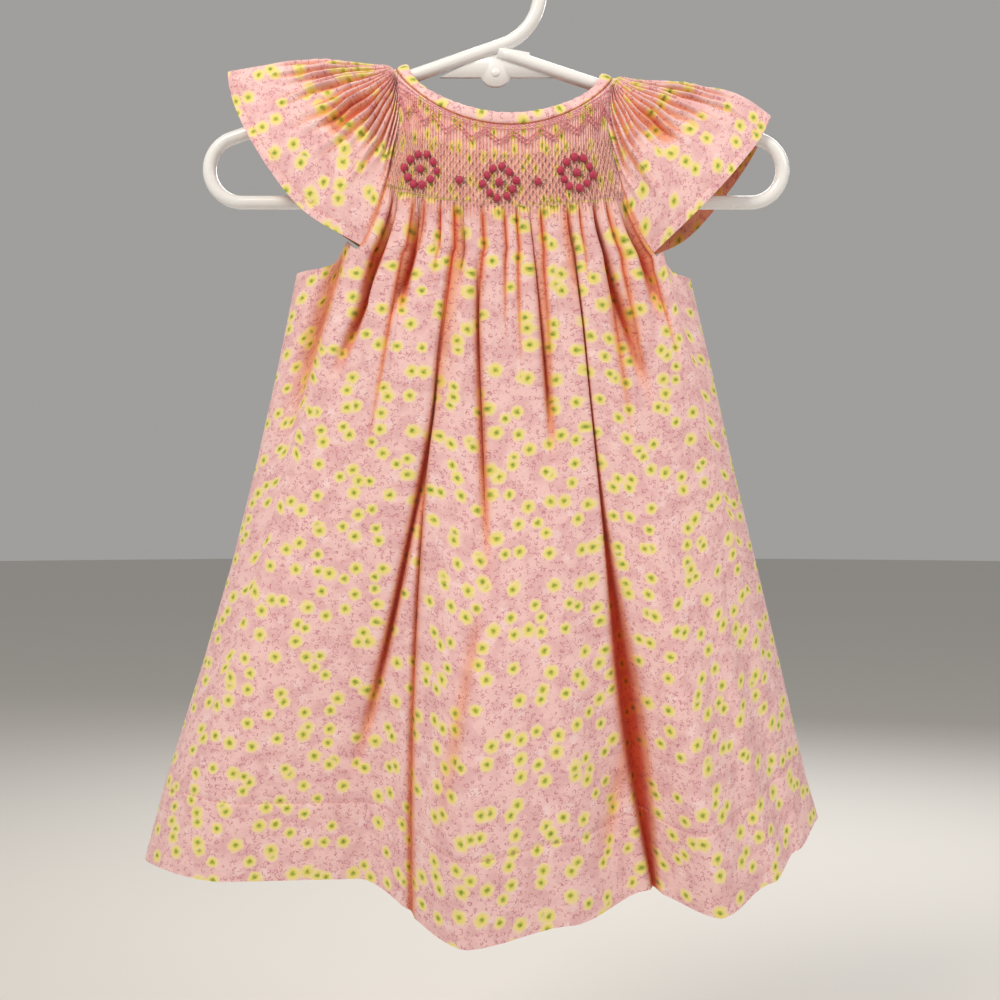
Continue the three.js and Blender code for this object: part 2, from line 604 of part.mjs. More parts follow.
// A plain sew-through button: a disc with a raised rim, facing back
function buttonMesh(number, down) {
  const { radius, thick, rim, sides, foot, bevel, rimFrom, dishTo } = BUTTON;
  const profile = [
    [0, 0], [radius * foot, 0], [radius, thick * bevel], [radius, thick],
    [radius * rimFrom, thick], [radius * dishTo, thick - rim], [0, thick - rim],
  ].map(([r, y]) => new THREE.Vector2(r, y));
  const material = new THREE.MeshStandardMaterial({ color: COLORS.button, roughness: ROUGHNESS.plastic });
  const mesh = new THREE.Mesh(new THREE.LatheGeometry(profile, sides), material);
  mesh.geometry = mergeVertices(mesh.geometry.deleteAttribute('uv').deleteAttribute('normal'));
  mesh.geometry.computeVertexNormals();
  const node = placketNode(0, down);
  mesh.position.copy(node.point);
  mesh.position.y += node.outer + BUTTON.lift;
  mesh.name = `button_${number}`;
  return mesh;
}

function toSolid(geometry) {
  const bare = geometry.clone();
  bare.deleteAttribute('normal');
  bare.deleteAttribute('uv');
  const merged = mergeVertices(bare, 1e-4);
  return new wasm.Manifold(new wasm.Mesh({
    numProp: 3,
    vertProperties: new Float32Array(merged.attributes.position.array),
    triVerts: new Uint32Array(merged.index.array),
  }));
}

function toGeometry(solid) {
  const mesh = solid.getMesh();
  const geometry = new THREE.BufferGeometry();
  geometry.setAttribute('position', new THREE.BufferAttribute(mesh.vertProperties, 3));
  geometry.setIndex(new THREE.BufferAttribute(mesh.triVerts, 1));
  geometry.computeVertexNormals();
  return geometry;
}

// An arc in the plane y = 0, angles in degrees from +X towards +Z
class PlaneArc extends THREE.Curve {
  constructor({ x, z, radius, from, to }) {
    super();
    Object.assign(this, { x, z, radius, from, to });
  }

  getPoint(t, target = new THREE.Vector3()) {
    const angle = degToRad(lerp(this.from, this.to, t));
    return target.set(this.x + this.radius * Math.cos(angle), 0, this.z + this.radius * Math.sin(angle));
  }
}

function tubeAlong(path, steps, radius) {
  const corners = Array.from({ length: HANGER.sides }, (_, k) => {
    const angle = ((k + 0.5) / HANGER.sides) * 2 * Math.PI;
    return new THREE.Vector2(radius * Math.cos(angle), radius * Math.sin(angle));
  });
  return new THREE.ExtrudeGeometry(new THREE.Shape(corners), {
    steps, bevelEnabled: false, extrudePath: path,
  });
}

// A straight tube that pokes a little way into the pieces at both ends, a hair thinner than they are
function straightTube(fromX, fromZ, toX, toZ) {
  const start = new THREE.Vector3(fromX, 0, fromZ);
  const end = new THREE.Vector3(toX, 0, toZ);
  const along = end.clone().sub(start).normalize();
  start.addScaledVector(along, -HANGER.lap);
  end.addScaledVector(along, HANGER.lap);
  return tubeAlong(new THREE.LineCurve3(start, end), 1, HANGER.tube - HANGER.lapShrink);
}

// The rounded end between an arm and the lower bar
function endBend(hand, arm) {
  const slope = Math.atan2(arm.fromZ - arm.toZ, Math.abs(arm.toX - arm.fromX));
  const radius = (arm.toZ - HANGER.barZ) / (1 + Math.cos(slope));
  const x = hand * HANGER.endX;
  const from = 90 - THREE.MathUtils.radToDeg(slope);
  const arc = hand === RIGHT
    ? { from, to: -90 }
    : { from: 180 - from, to: 270 };
  const bend = new PlaneArc({ x, z: HANGER.barZ + radius, radius, ...arc });
  return tubeAlong(bend, HANGER.steps.end, HANGER.tube);
}

function plateAcross(shape, half) {
  const plate = new THREE.ExtrudeGeometry(shape, { depth: 2 * half, bevelEnabled: false });
  return plate.rotateX(Math.PI / 2).translate(0, half, 0);
}

function webPlate() {
  const { z, left, right, tabHalf, tabZ, apexZ, half, corner } = HANGER.web;
  const tabX = HANGER.boss.x;
  const shape = new THREE.Shape();
  shape.moveTo(left, z);
  shape.lineTo(tabX - tabHalf - corner, z);
  shape.quadraticCurveTo(tabX - tabHalf + corner / 2, z, tabX - tabHalf / 2, (z + tabZ) / 2);
  shape.quadraticCurveTo(tabX, 2 * tabZ - (z + tabZ) / 2, tabX + tabHalf / 2, (z + tabZ) / 2);
  shape.quadraticCurveTo(tabX + tabHalf - corner / 2, z, tabX + tabHalf + corner, z);
  shape.lineTo(right, z);
  shape.lineTo(0, apexZ);
  return plateAcross(shape, half);
}

function finPlate() {
  const { half, fromX, fromZ, tipX, tipZ, footZ, rise } = HANGER.fin;
  const shape = new THREE.Shape([
    new THREE.Vector2(fromX, fromZ),
    new THREE.Vector2(tipX, footZ),
    new THREE.Vector2(tipX, tipZ),
    new THREE.Vector2(fromX, tipZ + rise),
  ]);
  return plateAcross(shape, half);
}

function hangerMesh() {
  const { hook, stem, leftArm, rightArm, endX, barZ, tube, web, boss, steps } = HANGER;
  const bossHeight = 2 * (web.half + boss.proud);
  const bossDisc = new THREE.CylinderGeometry(boss.radius, boss.radius, bossHeight, steps.boss);
  const pieces = [
    tubeAlong(new PlaneArc(stem), steps.stem, tube - HANGER.lapShrink / 2),
    straightTube(leftArm.fromX, leftArm.fromZ, leftArm.toX, leftArm.toZ),
    straightTube(rightArm.fromX, rightArm.fromZ, rightArm.toX, rightArm.toZ),
    endBend(LEFT, leftArm),
    endBend(RIGHT, rightArm),
    straightTube(-endX, barZ, endX, barZ),
    webPlate(),
    finPlate(),
    bossDisc.translate(boss.x, 0, boss.z),
  ].map(toSolid);
  const hookArc = toSolid(tubeAlong(new PlaneArc(hook), steps.hook, tube));
  const whole = pieces.reduce((sum, piece) => sum.add(piece), hookArc);
  const material = new THREE.MeshStandardMaterial({ color: COLORS.hanger, roughness: ROUGHNESS.plastic });
  const mesh = new THREE.Mesh(toGeometry(whole), material);
  mesh.name = 'hanger';
  return mesh;
}

const dress = new THREE.Group();
dress.add(
  hangerMesh(),
  frontPanel(),
  ...backPanels(),
  sleeveMesh(LEFT_SLEEVE),
  sleeveMesh(RIGHT_SLEEVE),
  neckBinding(),
  backPlacket(),
  ...BUTTON.at.map((down, k) => buttonMesh(k + 1, down)),
);

export default dress;
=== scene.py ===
"""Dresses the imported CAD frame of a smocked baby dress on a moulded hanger.

The cloth stands on the same form as the solids: the same neck ring, hanging folds and hem, worked out
on finer grids. To that come the smocked pleats, the floss, the printed cotton and the seams.
Lengths in the classes are in millimetres; meshes are in metres.
"""

import logging
import math
from dataclasses import dataclass
from enum import Enum

import bpy
import numpy as np
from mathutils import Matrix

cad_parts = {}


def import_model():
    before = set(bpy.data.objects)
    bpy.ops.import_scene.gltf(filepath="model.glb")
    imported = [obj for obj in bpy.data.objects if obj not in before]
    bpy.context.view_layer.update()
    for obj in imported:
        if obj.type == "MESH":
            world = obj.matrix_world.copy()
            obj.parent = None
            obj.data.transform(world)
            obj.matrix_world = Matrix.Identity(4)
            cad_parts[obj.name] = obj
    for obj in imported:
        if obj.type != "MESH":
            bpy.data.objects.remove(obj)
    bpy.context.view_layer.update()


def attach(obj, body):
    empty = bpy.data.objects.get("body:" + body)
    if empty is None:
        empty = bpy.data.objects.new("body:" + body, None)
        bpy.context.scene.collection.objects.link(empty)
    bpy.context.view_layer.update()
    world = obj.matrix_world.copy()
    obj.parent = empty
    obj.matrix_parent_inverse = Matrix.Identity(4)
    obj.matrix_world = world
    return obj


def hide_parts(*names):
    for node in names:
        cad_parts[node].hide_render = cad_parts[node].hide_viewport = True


LOG = logging.getLogger("dress")
MM = 0.001
SEED = 7
SEAM_ZERO = 100.0  # stored distances to a row of stitches start here, so that none is negative
CLOTH_LIFT = 0.6  # outer face of the cloth over the form, in millimetres
RING_TUCK = 0.2  # how far the cloth starts below the neck ring
BACKWARD = np.array([0.0, 1.0, 0.0])
BACK_GAP = 0.5  # between the back halves
BACK_PRINT_STEP = 3.0  # the halves are cut apart, so the print doesn't run on from one to the other
BACK_PRINT_ASIDE = 2100.0  # the back is cut from another place on the cloth than the front
TUCK_POWER = 2.5  # how fast the cloth bellies out below the ring: 1 - (1 - down)^2.5


class Side(Enum):
    """Which way a panel faces: the front looks along -Y."""

    FRONT = -1
    BACK = 1


class Hand(Enum):
    """Left and right as seen from the front."""

    LEFT = -1
    RIGHT = 1


# Small mathematics


def lerp(a: np.ndarray, b: np.ndarray, t: np.ndarray) -> np.ndarray:
    """Straight mix: a + (b - a) t."""
    return a + (b - a) * t


def ease(x: np.ndarray, low: float, high: float) -> np.ndarray:
    """Smooth step from 0 at low to 1 at high: 3s^2 - 2s^3 with s = (x - low) / (high - low)."""
    s = np.clip((x - low) / (high - low), 0.0, 1.0)
    return s * s * (3.0 - 2.0 * s)


def unit(vectors: np.ndarray) -> np.ndarray:
    """Vectors divided by their length."""
    return vectors / np.maximum(np.linalg.norm(vectors, axis=-1, keepdims=True), 1e-9)


def vec(x: np.ndarray, y: np.ndarray, z: np.ndarray) -> np.ndarray:
    """Stacks three coordinate arrays into one array of points."""
    return np.stack(np.broadcast_arrays(x, y, z), axis=-1).astype(float)


def eased_table(at: np.ndarray, keys: list[float], values: list[float]) -> np.ndarray:
    """Looks a value up in a table, easing in and out of each row.

    Args:
        at: where to look.
        keys: the rows' places, ascending.
        values: the rows' values.

    Returns:
        lerp(v[k], v[k + 1], 0.25 s + 0.75 (3s^2 - 2s^3)), where s is the share between two rows.
    """
    k = np.clip(np.searchsorted(keys, at, side="right") - 1, 0, len(keys) - 2)
    low, high = np.take(keys, k), np.take(keys, k + 1)
    s = np.clip((at - low) / (high - low), 0.0, 1.0)
    return lerp(np.take(values, k), np.take(values, k + 1), lerp(s, s * s * (3.0 - 2.0 * s), 0.75))


# Meshes


def put_mesh(name: str, points: np.ndarray, faces: list, material: bpy.types.Material) -> bpy.types.Object:
    """Makes an object from points in millimetres and faces.

    Args:
        name: the piece's name.
        points: array (n, 3), in millimetres.
        faces: vertex numbers of each face.
        material: the finish.

    Returns:
        The linked object, smooth shaded, at the origin.
    """
    mesh = bpy.data.meshes.new(name)
    mesh.from_pydata((np.asarray(points) * MM).tolist(), [], [list(f) for f in faces])
    mesh.polygons.foreach_set("use_smooth", np.ones(len(mesh.polygons), bool))
    mesh.materials.append(material)
    mesh.update()
    piece = bpy.data.objects.new(name, mesh)
    bpy.context.scene.collection.objects.link(piece)
    return piece


def grid_faces(rows: int, columns: int, wrap: bool = False) -> np.ndarray:
    """Quads of a grid of rows x columns points; wrap joins the last column to the first."""
    ids = np.arange(rows * columns).reshape(rows, columns)
    if wrap:
        ids = np.concatenate([ids, ids[:, :1]], axis=1)
    return np.stack([ids[:-1, :-1], ids[:-1, 1:], ids[1:, 1:], ids[1:, :-1]], -1).reshape(-1, 4)


def add_floats(piece: bpy.types.Object, name: str, values: np.ndarray) -> None:
    """Stores one number per vertex for the material to read."""
    layer = piece.data.attributes.new(name, "FLOAT", "POINT")
    layer.data.foreach_set("value", np.asarray(values, np.float32).ravel())


def add_uv(piece: bpy.types.Object, uv: np.ndarray) -> None:
    """Stores the cut cloth's coordinates, in metres, as the UV map named print."""
    corner = np.zeros(len(piece.data.loops), np.int32)
    piece.data.loops.foreach_get("vertex_index", corner)
    layer = piece.data.uv_layers.new(name="print")
    layer.data.foreach_set("uv", (np.asarray(uv).reshape(-1, 2)[corner] * MM).astype(np.float32).ravel())


def cloth_shell(name: str, outer: np.ndarray, out: np.ndarray, thick: np.ndarray, uv: np.ndarray,
                fold: np.ndarray, seam: np.ndarray, flip: bool, material: bpy.types.Material,
                inside: float = 0.5) -> bpy.types.Object:
    """A closed thin shell over a grid of points; places without cloth are not-a-number.

    Args:
        name: the piece's name.
        outer: outer face, array (rows, columns, 3) in millimetres.
        out: unit normals of the same shape.
        thick: thickness at each point.
        uv: cut-cloth coordinates of each point, in millimetres.
        fold: painted fold shade, 0 on open cloth to 1 deep in a fold.
        seam: millimetres down to the row of hem stitches, plus SEAM_ZERO.
        flip: turns the faces over.
        material: the finish.
        inside: the least painted fold shade on the inner face.

    Returns:
        The piece: outer face, inner face (outer - out * thick) and a rim round every open edge.
    """
    real = ~np.isnan(outer[..., 0])
    number = np.full(real.shape, -1)
    number[real] = np.arange(real.sum())
    quads = number.ravel()[grid_faces(*real.shape)]
    quads = quads[(quads >= 0).all(axis=1)]
    if flip:
        quads = quads[:, ::-1]
    count = int(real.sum())
    edges = np.concatenate([quads[:, [k, (k + 1) % 4]] for k in range(4)])
    codes = edges[:, 0] * count + edges[:, 1]
    back = edges[:, 1] * count + edges[:, 0]
    rim = edges[~np.isin(codes, back)]
    rim_quads = np.stack([rim[:, 1], rim[:, 0], rim[:, 0] + count, rim[:, 1] + count], -1)
    faces = np.concatenate([quads, quads[:, ::-1] + count, rim_quads])
    inner = outer[real] - out[real] * thick[real][:, None]
    piece = put_mesh(name, np.concatenate([outer[real], inner]), faces.tolist(), material)
    add_uv(piece, np.concatenate([uv[real], uv[real]]))
    # The fold attribute is painted shade; the inner face is given at least the share in inside
    add_floats(piece, "fold", np.concatenate([fold[real], np.maximum(fold[real], inside)]))
    add_floats(piece, "seam", np.concatenate([seam[real], seam[real]]))
    flag = np.zeros(2 * count, np.int8)
    flag[rim[:, 0]] = 1
    flag[rim[:, 0] + count] = 2
    ends = np.zeros(2 * len(piece.data.edges), np.int32)
    piece.data.edges.foreach_get("vertices", ends)
    a, b = flag[ends[0::2]], flag[ends[1::2]]
    sharp = piece.data.attributes.new("sharp_edge", "BOOLEAN", "EDGE")
    sharp.data.foreach_set("value", (a == b) & (a > 0))
    return piece


def arc_length(path: np.ndarray) -> np.ndarray:
    """Distance along a path at each of its points, from 0."""
    return np.concatenate([[0.0], np.cumsum(np.linalg.norm(np.diff(path, axis=0), axis=-1))])


def full_turn(steps: int) -> np.ndarray:
    """Angles of evenly spaced places round a circle."""
    return np.linspace(0, 2 * np.pi, steps, endpoint=False)


def tube_rings(path: np.ndarray, side: np.ndarray, radius: np.ndarray, sides: int) -> np.ndarray:
    """Rings round a path: path + radius (cos p * across + sin p * side), across = tangent x side.

    Args:
        path: array (n, 3).
        side: a unit vector, or one for each point, square to the path.
        radius: radius at each point.
        sides: points round each ring.

    Returns:
        Array (n, sides, 3).
    """
    tangent = unit(np.gradient(path, axis=0))
    across = unit(np.cross(tangent, side))
    turn = full_turn(sides)[None, :, None]
    ring = np.cos(turn) * across[:, None] + np.sin(turn) * np.broadcast_to(side, path.shape)[:, None]
    return path[:, None] + ring * radius[:, None, None]


def turn_over(faces: list) -> list:
    """The same faces seen from their other side."""
    return [face[::-1] for face in faces]


def closed_tube(rings: np.ndarray) -> tuple[np.ndarray, list]:
    """Points and faces of a tube whose two ends are closed by one face each."""
    rows, sides = rings.shape[:2]
    faces = grid_faces(rows, sides, wrap=True).tolist()
    last = (rows - 1) * sides
    faces.append(list(range(sides))[::-1])
    faces.append([last + k for k in range(sides)])
    return rings.reshape(-1, 3), faces


def closed_bead(rings: np.ndarray) -> tuple[np.ndarray, list]:
    """Points and faces of a turned body whose first and last rings have shrunk to points."""
    sides = rings.shape[1]
    count = (len(rings) - 2) * sides
    last = count - sides
    points = np.concatenate([rings[1:-1].reshape(-1, 3), rings[:1, 0], rings[-1:, 0]])
    faces = grid_faces(len(rings) - 2, sides, wrap=True).tolist()
    for k in range(sides):
        after = (k + 1) % sides
        faces += [[k, after, count], [last + after, last + k, count + 1]]
    return points, faces


def join_parts(parts: list[tuple[np.ndarray, list]]) -> tuple[np.ndarray, list]:
    """Joins several closed bodies into one list of points and faces."""
    points, faces, start = [], [], 0
    for body, body_faces in parts:
        points.append(body)
        faces.extend([[v + start for v in face] for face in body_faces])
        start += len(body)
    return np.concatenate(points), faces


# Finishes


def linear(code: str) -> tuple[float, float, float, float]:
    """An sRGB hex colour as linear red, green, blue and alpha."""
    parts = [int(code[k:k + 2], 16) / 255 for k in (1, 3, 5)]
    return (*[p / 12.92 if p <= 0.04045 else ((p + 0.055) / 1.055) ** 2.4 for p in parts], 1.0)


class Nodes:
    """One material's node tree, built node by node."""

    def __init__(self, name: str) -> None:
        """Makes the material, which has a Principled shader from the start."""
        self.material = bpy.data.materials.new(name)
        self.material.use_nodes = True
        self.tree = self.material.node_tree

    def feed(self, node: bpy.types.Node, inputs: dict) -> bpy.types.Node:
        """Sets a node's inputs: a socket is linked, anything else becomes the input's constant."""
        for key, value in inputs.items():
            if isinstance(value, bpy.types.NodeSocket):
                self.tree.links.new(value, node.inputs[key])
            else:
                node.inputs[key].default_value = value
        return node

    def add(self, kind: str, inputs: dict, **settings: object) -> bpy.types.Node:
        """Adds a node.

        Args:
            kind: the node's type name after ShaderNode.
            inputs: socket name or number to a value, or to the socket that feeds it.
            settings: the node's own properties.

        Returns:
            The node.
        """
        node = self.tree.nodes.new("ShaderNode" + kind)
        for key, value in settings.items():
            setattr(node, key, value)
        return self.feed(node, inputs)

    def finish(self, inputs: dict) -> bpy.types.Material:
        """Sets the Principled shader's inputs and returns the material."""
        self.feed(self.tree.nodes["Principled BSDF"], inputs)
        return self.material

    def calc(self, operation: str, *values: object) -> bpy.types.NodeSocket:
        """The result of one arithmetic step on numbers or sockets."""
        return self.add("Math", dict(enumerate(values)), operation=operation).outputs[0]

    def vector(self, operation: str, *values: object) -> bpy.types.NodeSocket:
        """The vector that one step on vectors gives."""
        return self.add("VectorMath", dict(enumerate(values)), operation=operation).outputs[0]

    def scale(self, vector: bpy.types.NodeSocket, times: float) -> bpy.types.NodeSocket:
        """A vector times a number."""
        return self.add("VectorMath", {0: vector, "Scale": times}, operation="SCALE").outputs[0]

    def step(self, value: object, full: float, none: float) -> bpy.types.NodeSocket:
        """1 at full and beyond, 0 at none and beyond, a smooth step between; either may be the larger."""
        return self.add("MapRange", {0: value, 1: full, 2: none, 3: 1.0, 4: 0.0},
                        interpolation_type="SMOOTHSTEP").outputs[0]

    def mix(self, share: object, below: object, above: object) -> bpy.types.NodeSocket:
        """Colour mix: below where share is 0, above where it is 1; each a socket or an sRGB hex code."""
        low, high = (linear(shade) if isinstance(shade, str) else shade for shade in (below, above))
        return self.add("Mix", {0: share, 6: low, 7: high}, data_type="RGBA").outputs[2]

    def attribute(self, name: str) -> bpy.types.NodeSocket:
        """A number that the mesh stores for each vertex."""
        return self.add("Attribute", {}, attribute_name=name).outputs["Fac"]

    def noise(self, at: bpy.types.NodeSocket, scale: float, detail: float, dimensions: str = "2D",
              rough: float = 0.5) -> list[bpy.types.NodeSocket]:
        """Cloudy noise at a place: its height and its colour."""
        node = self.add("TexNoise", {"Vector": at, "Scale": scale, "Detail": detail, "Roughness": rough},
                        noise_dimensions=dimensions)
        return list(node.outputs)

    def bump(self, height: object, strength: float, distance: float, under: object = None,
             invert: bool = False) -> bpy.types.NodeSocket:
        """A normal that leans with a height, distance in metres, on top of the normal under it."""
        below = {"Normal": under} if under else {}
        return self.add("Bump", {"Height": height, "Strength": strength, "Distance": distance, **below},
                        invert=invert).outputs[0]


@dataclass(frozen=True)
class PrintedLawn:
    """Printed cotton lawn, plain woven and washed: matt, with a soft bloom where light grazes it.

    The print is a scatter of yellow five-petalled flowers with green eyes, pale blossoms, small open
    rings and dots. Folds get painted shade and a painted glow, standing for light that has bounced from
    pink cloth to pink cloth and come through the thin lawn from behind: shallow folds are painted an
    orange shade, deep ones a red-brown shade, and they give off a little painted light.
    Lengths are real ones, in millimetres on the cut cloth. Of the scatters, each row is a pitch, a
    shift and, for flowers, the share left out or, for rings, their radius.
    """

    name: str = "printed_cotton_lawn"
    ground: str = "#F2CBCB"
    ground_shade: str = "#E6B8BB"
    petal: str = "#ECDD80"
    petal_rim: str = "#F4E2B4"
    eye_ring: str = "#B0BA4C"
    eye: str = "#6C8A30"
    blossom: str = "#F9E0E1"
    ring: str = "#B9627A"
    # Tints of the painted shade in shallow and deep folds; through below is the strength of the folds'
    # painted glow
    shallow_fold_painted_tint: str = "#F6CDA6"
    deep_fold_painted_tint: str = "#CC5A32"
    thread: str = "#D98F8C"
    through: float = 0.17
    flower_radius: float = 4.3
    flower_scatters: tuple = ((14.3, 0.0, 0.03), (17.4, 210.0, 0.12))
    eye_radius: float = 1.35
    blossom_radius: float = 3.4
    blossom_pitch: float = 17.0
    ring_scatters: tuple = ((3.6, 31.0, 0.85), (4.1, 77.0, 0.65))
    dot_pitch: float = 2.3
    thread_pitch: float = 0.55
    stitch_pitch: float = 2.5

    def cells(self, nodes: Nodes, at: bpy.types.NodeSocket, pitch: float, shift: float,
              loose: float) -> tuple:
        """Scattered points, one to each cell of a square of side pitch.

        Args:
            nodes: the material being built.
            at: position on the cloth, in millimetres.
            pitch: mean distance between points.
            shift: moves this scatter apart from the others.
            loose: 0 for a square lattice to 1 for fully scattered.

        Returns:
            Distance to the nearest point, angle round it, and two random numbers of its cell.
        """
        moved = nodes.vector("ADD", at, (shift, shift * 0.7, 0.0))
        cell = nodes.add("TexVoronoi", {"Vector": moved, "Scale": 1 / pitch, "Randomness": loose},
                         voronoi_dimensions="2D")
        offset = nodes.vector("SUBTRACT", moved, cell.outputs["Position"])
        length = nodes.add("VectorMath", {0: offset}, operation="LENGTH").outputs["Value"]
        parts = nodes.add("SeparateXYZ", {0: offset}).outputs
        luck = nodes.add("SeparateColor", {0: cell.outputs["Color"]}).outputs
        return length, nodes.calc("ARCTAN2", parts[1], parts[0]), luck[0], luck[1]

    def flower(self, nodes: Nodes, cell: tuple, radius: float, lobes: float) -> tuple:
        """A five-petalled flower: radius (1 - lobes + lobes cos 5a), a the angle round the eye.

        Args:
            nodes: the material being built.
            cell: what cells() gives.
            radius: reach of the petals.
            lobes: depth of the notches as a share of the radius.

        Returns:
            The mask of the flower, and the distance as a share of the reach.
        """
        distance, angle, luck, _ = cell
        turned = nodes.calc("MULTIPLY_ADD", luck, 6.28, angle)
        lobe = nodes.calc("COSINE", nodes.calc("MULTIPLY", turned, 5.0))
        reach = nodes.calc("MULTIPLY_ADD", lobe, lobes * radius, (1 - lobes) * radius)
        size = nodes.calc("MULTIPLY", reach, nodes.calc("MULTIPLY_ADD", luck, 0.25, 0.85))
        share = nodes.calc("DIVIDE", distance, size)
        return nodes.step(share, 0.6, 1.08), share

    def printed(self, nodes: Nodes, flat: bpy.types.NodeSocket) -> bpy.types.NodeSocket:
        """The printed colour.

        Args:
            nodes: the material being built.
            flat: position on the cut cloth, in millimetres.

        Returns:
            Ground, pale blossoms, arcs of small rings, dots and flowers, one over the other.
        """
        hand = nodes.vector("SUBTRACT", nodes.noise(flat, 0.6, 1.0)[1], (0.5, 0.5, 0.5))
        at = nodes.vector("ADD", flat, nodes.scale(hand, 1.3))
        cloudy = nodes.step(nodes.noise(flat, 0.09, 3.0)[0], 0.35, 0.62)
        colour = nodes.mix(cloudy, self.ground, self.ground_shade)
        cell = self.cells(nodes, at, self.blossom_pitch, 140.0, 0.9)
        pale, _ = self.flower(nodes, cell, self.blossom_radius, 0.2)
        colour = nodes.mix(nodes.calc("MULTIPLY", pale, 0.5), colour, self.blossom)
        for pitch, shift, reach in self.ring_scatters:
            distance, angle, luck, chance = self.cells(nodes, at, pitch, shift, 1.0)
            line = nodes.step(nodes.calc("ABSOLUTE", nodes.calc("SUBTRACT", distance, reach)), 0.08, 0.34)
            turned = nodes.calc("COSINE", nodes.calc("MULTIPLY_ADD", luck, 6.28, angle))
            arc = nodes.calc("MULTIPLY", line, nodes.step(turned, 0.35, 0.65))
            colour = self.stamp(nodes, colour, arc, nodes.calc("GREATER_THAN", chance, 0.3), 0.6)
        distance, _, _, chance = self.cells(nodes, at, self.dot_pitch, 55.0, 1.0)
        dot = nodes.step(distance, 0.15, 0.42)
        colour = self.stamp(nodes, colour, dot, nodes.calc("GREATER_THAN", chance, 0.4), 0.55)
        for pitch, shift, rare in self.flower_scatters:
            cell = self.cells(nodes, at, pitch, shift, 0.8)
            mask, share = self.flower(nodes, cell, self.flower_radius, 0.05)
            core = self.eye_radius * 0.6
            petals = nodes.mix(nodes.step(share, 0.45, 0.9), self.petal_rim, self.petal)
            petals = nodes.mix(nodes.step(cell[0], core, self.eye_radius * 1.3), petals, self.eye_ring)
            petals = nodes.mix(nodes.step(cell[0], 0.1, core), petals, self.eye)
            shown = nodes.calc("GREATER_THAN", cell[3], rare)
            colour = nodes.mix(nodes.calc("MULTIPLY", mask, shown), colour, petals)
        return colour

    def stamp(self, nodes: Nodes, colour: bpy.types.NodeSocket, mask: bpy.types.NodeSocket,
              shown: bpy.types.NodeSocket, strength: float) -> bpy.types.NodeSocket:
        """The colour with a mark of the small rings' ink on it, where it is shown."""
        share = nodes.calc("MULTIPLY", mask, shown)
        return nodes.mix(nodes.calc("MULTIPLY", share, strength), colour, self.ring)

    def make(self) -> bpy.types.Material:
        """Builds the node tree and returns the material."""
        nodes = Nodes(self.name)
        flat = nodes.scale(nodes.add("UVMap", {}, uv_map="print").outputs[0], 1000.0)
        colour = self.printed(nodes, flat)
        # Painted shade in the folds, by the fold attribute: the print is multiplied by an orange tint,
        # red-brown in deep folds
        fold = nodes.attribute("fold")
        tint = nodes.mix(nodes.step(fold, 0.9, 0.3), self.shallow_fold_painted_tint, self.deep_fold_painted_tint)
        colour = nodes.mix(nodes.step(fold, 0.42, 0.0), colour, nodes.vector("MULTIPLY", colour, tint))
        # Painted glow of the folds, though no lamp is in them
        painted_fold_glow = nodes.calc("MULTIPLY", nodes.step(fold, 1.0, 0.3), self.through)

        away = nodes.calc("ABSOLUTE", nodes.calc("SUBTRACT", nodes.attribute("seam"), SEAM_ZERO))
        along = nodes.add("SeparateXYZ", {0: flat}).outputs[0]
        dash = nodes.step(nodes.calc("PINGPONG", along, self.stitch_pitch / 2), 0.75, 1.0)
        stitch = nodes.calc("MULTIPLY", nodes.step(away, 0.25, 0.7), dash)
        sewn = nodes.mix(nodes.calc("MULTIPLY", stitch, 0.5), colour, self.thread)

        # Real threads lie 0.25 mm apart; drawn at about twice that so that the weave can show
        warp, weft = (nodes.add("TexWave", {"Vector": flat, "Scale": 0.314 / self.thread_pitch},
                                bands_direction=way).outputs["Fac"] for way in "XY")
        fine = nodes.bump(nodes.calc("MULTIPLY", warp, weft), 0.25, 0.00012)
        soft = nodes.bump(nodes.noise(flat, 0.11, 4.0, rough=0.6)[0], 0.5, 0.0016, fine)
        drawn = nodes.bump(nodes.step(away, 0.3, 2.2), 0.6, 0.0004, soft, invert=True)
        # The emission is the folds' painted glow
        return nodes.finish({"Base Color": sewn, "Emission Color": colour, "Emission Strength": painted_fold_glow,
                             "Roughness": 0.88, "Specular IOR Level": 0.3, "Sheen Weight": 0.18,
                             "Sheen Roughness": 0.6, "Normal": drawn})


@dataclass(frozen=True)
class Floss:
    """Stranded cotton floss: mercerised, so it has a soft gleam along its twist."""

    name: str
    colour: str
    shade: str

    def make(self) -> bpy.types.Material:
        """Builds the node tree and returns the material."""
        nodes = Nodes(self.name)
        strands = nodes.noise(nodes.add("TexCoord", {}).outputs["Object"], 1600.0, 2.0, "3D")[0]
        shade = nodes.mix(nodes.step(strands, 0.4, 0.6), self.colour, self.shade)
        return nodes.finish({"Base Color": shade, "Roughness": 0.6, "Sheen Weight": 0.3,
                             "Normal": nodes.bump(strands, 0.5, 0.0002)})


@dataclass(frozen=True)
class MouldedPlastic:
    """Injection-moulded white polystyrene: bright, glossy, with the faint waviness of the mould."""

    name: str
    colour: str
    roughness: float

    def make(self) -> bpy.types.Material:
        """Builds the node tree and returns the material."""
        nodes = Nodes(self.name)
        waves = nodes.noise(nodes.add("TexCoord", {}).outputs["Object"], 90.0, 2.0, "3D")[0]
        smudge = nodes.add("MapRange", {0: waves, 1: 0.3, 2: 0.7, 3: self.roughness * 0.8,
                                        4: self.roughness * 1.3}).outputs[0]
        return nodes.finish({"Base Color": linear(self.colour), "Roughness": smudge, "IOR": 1.55,
                             "Coat Weight": 0.2, "Normal": nodes.bump(waves, 0.15, 0.0005)})


# The form that the cloth hangs on


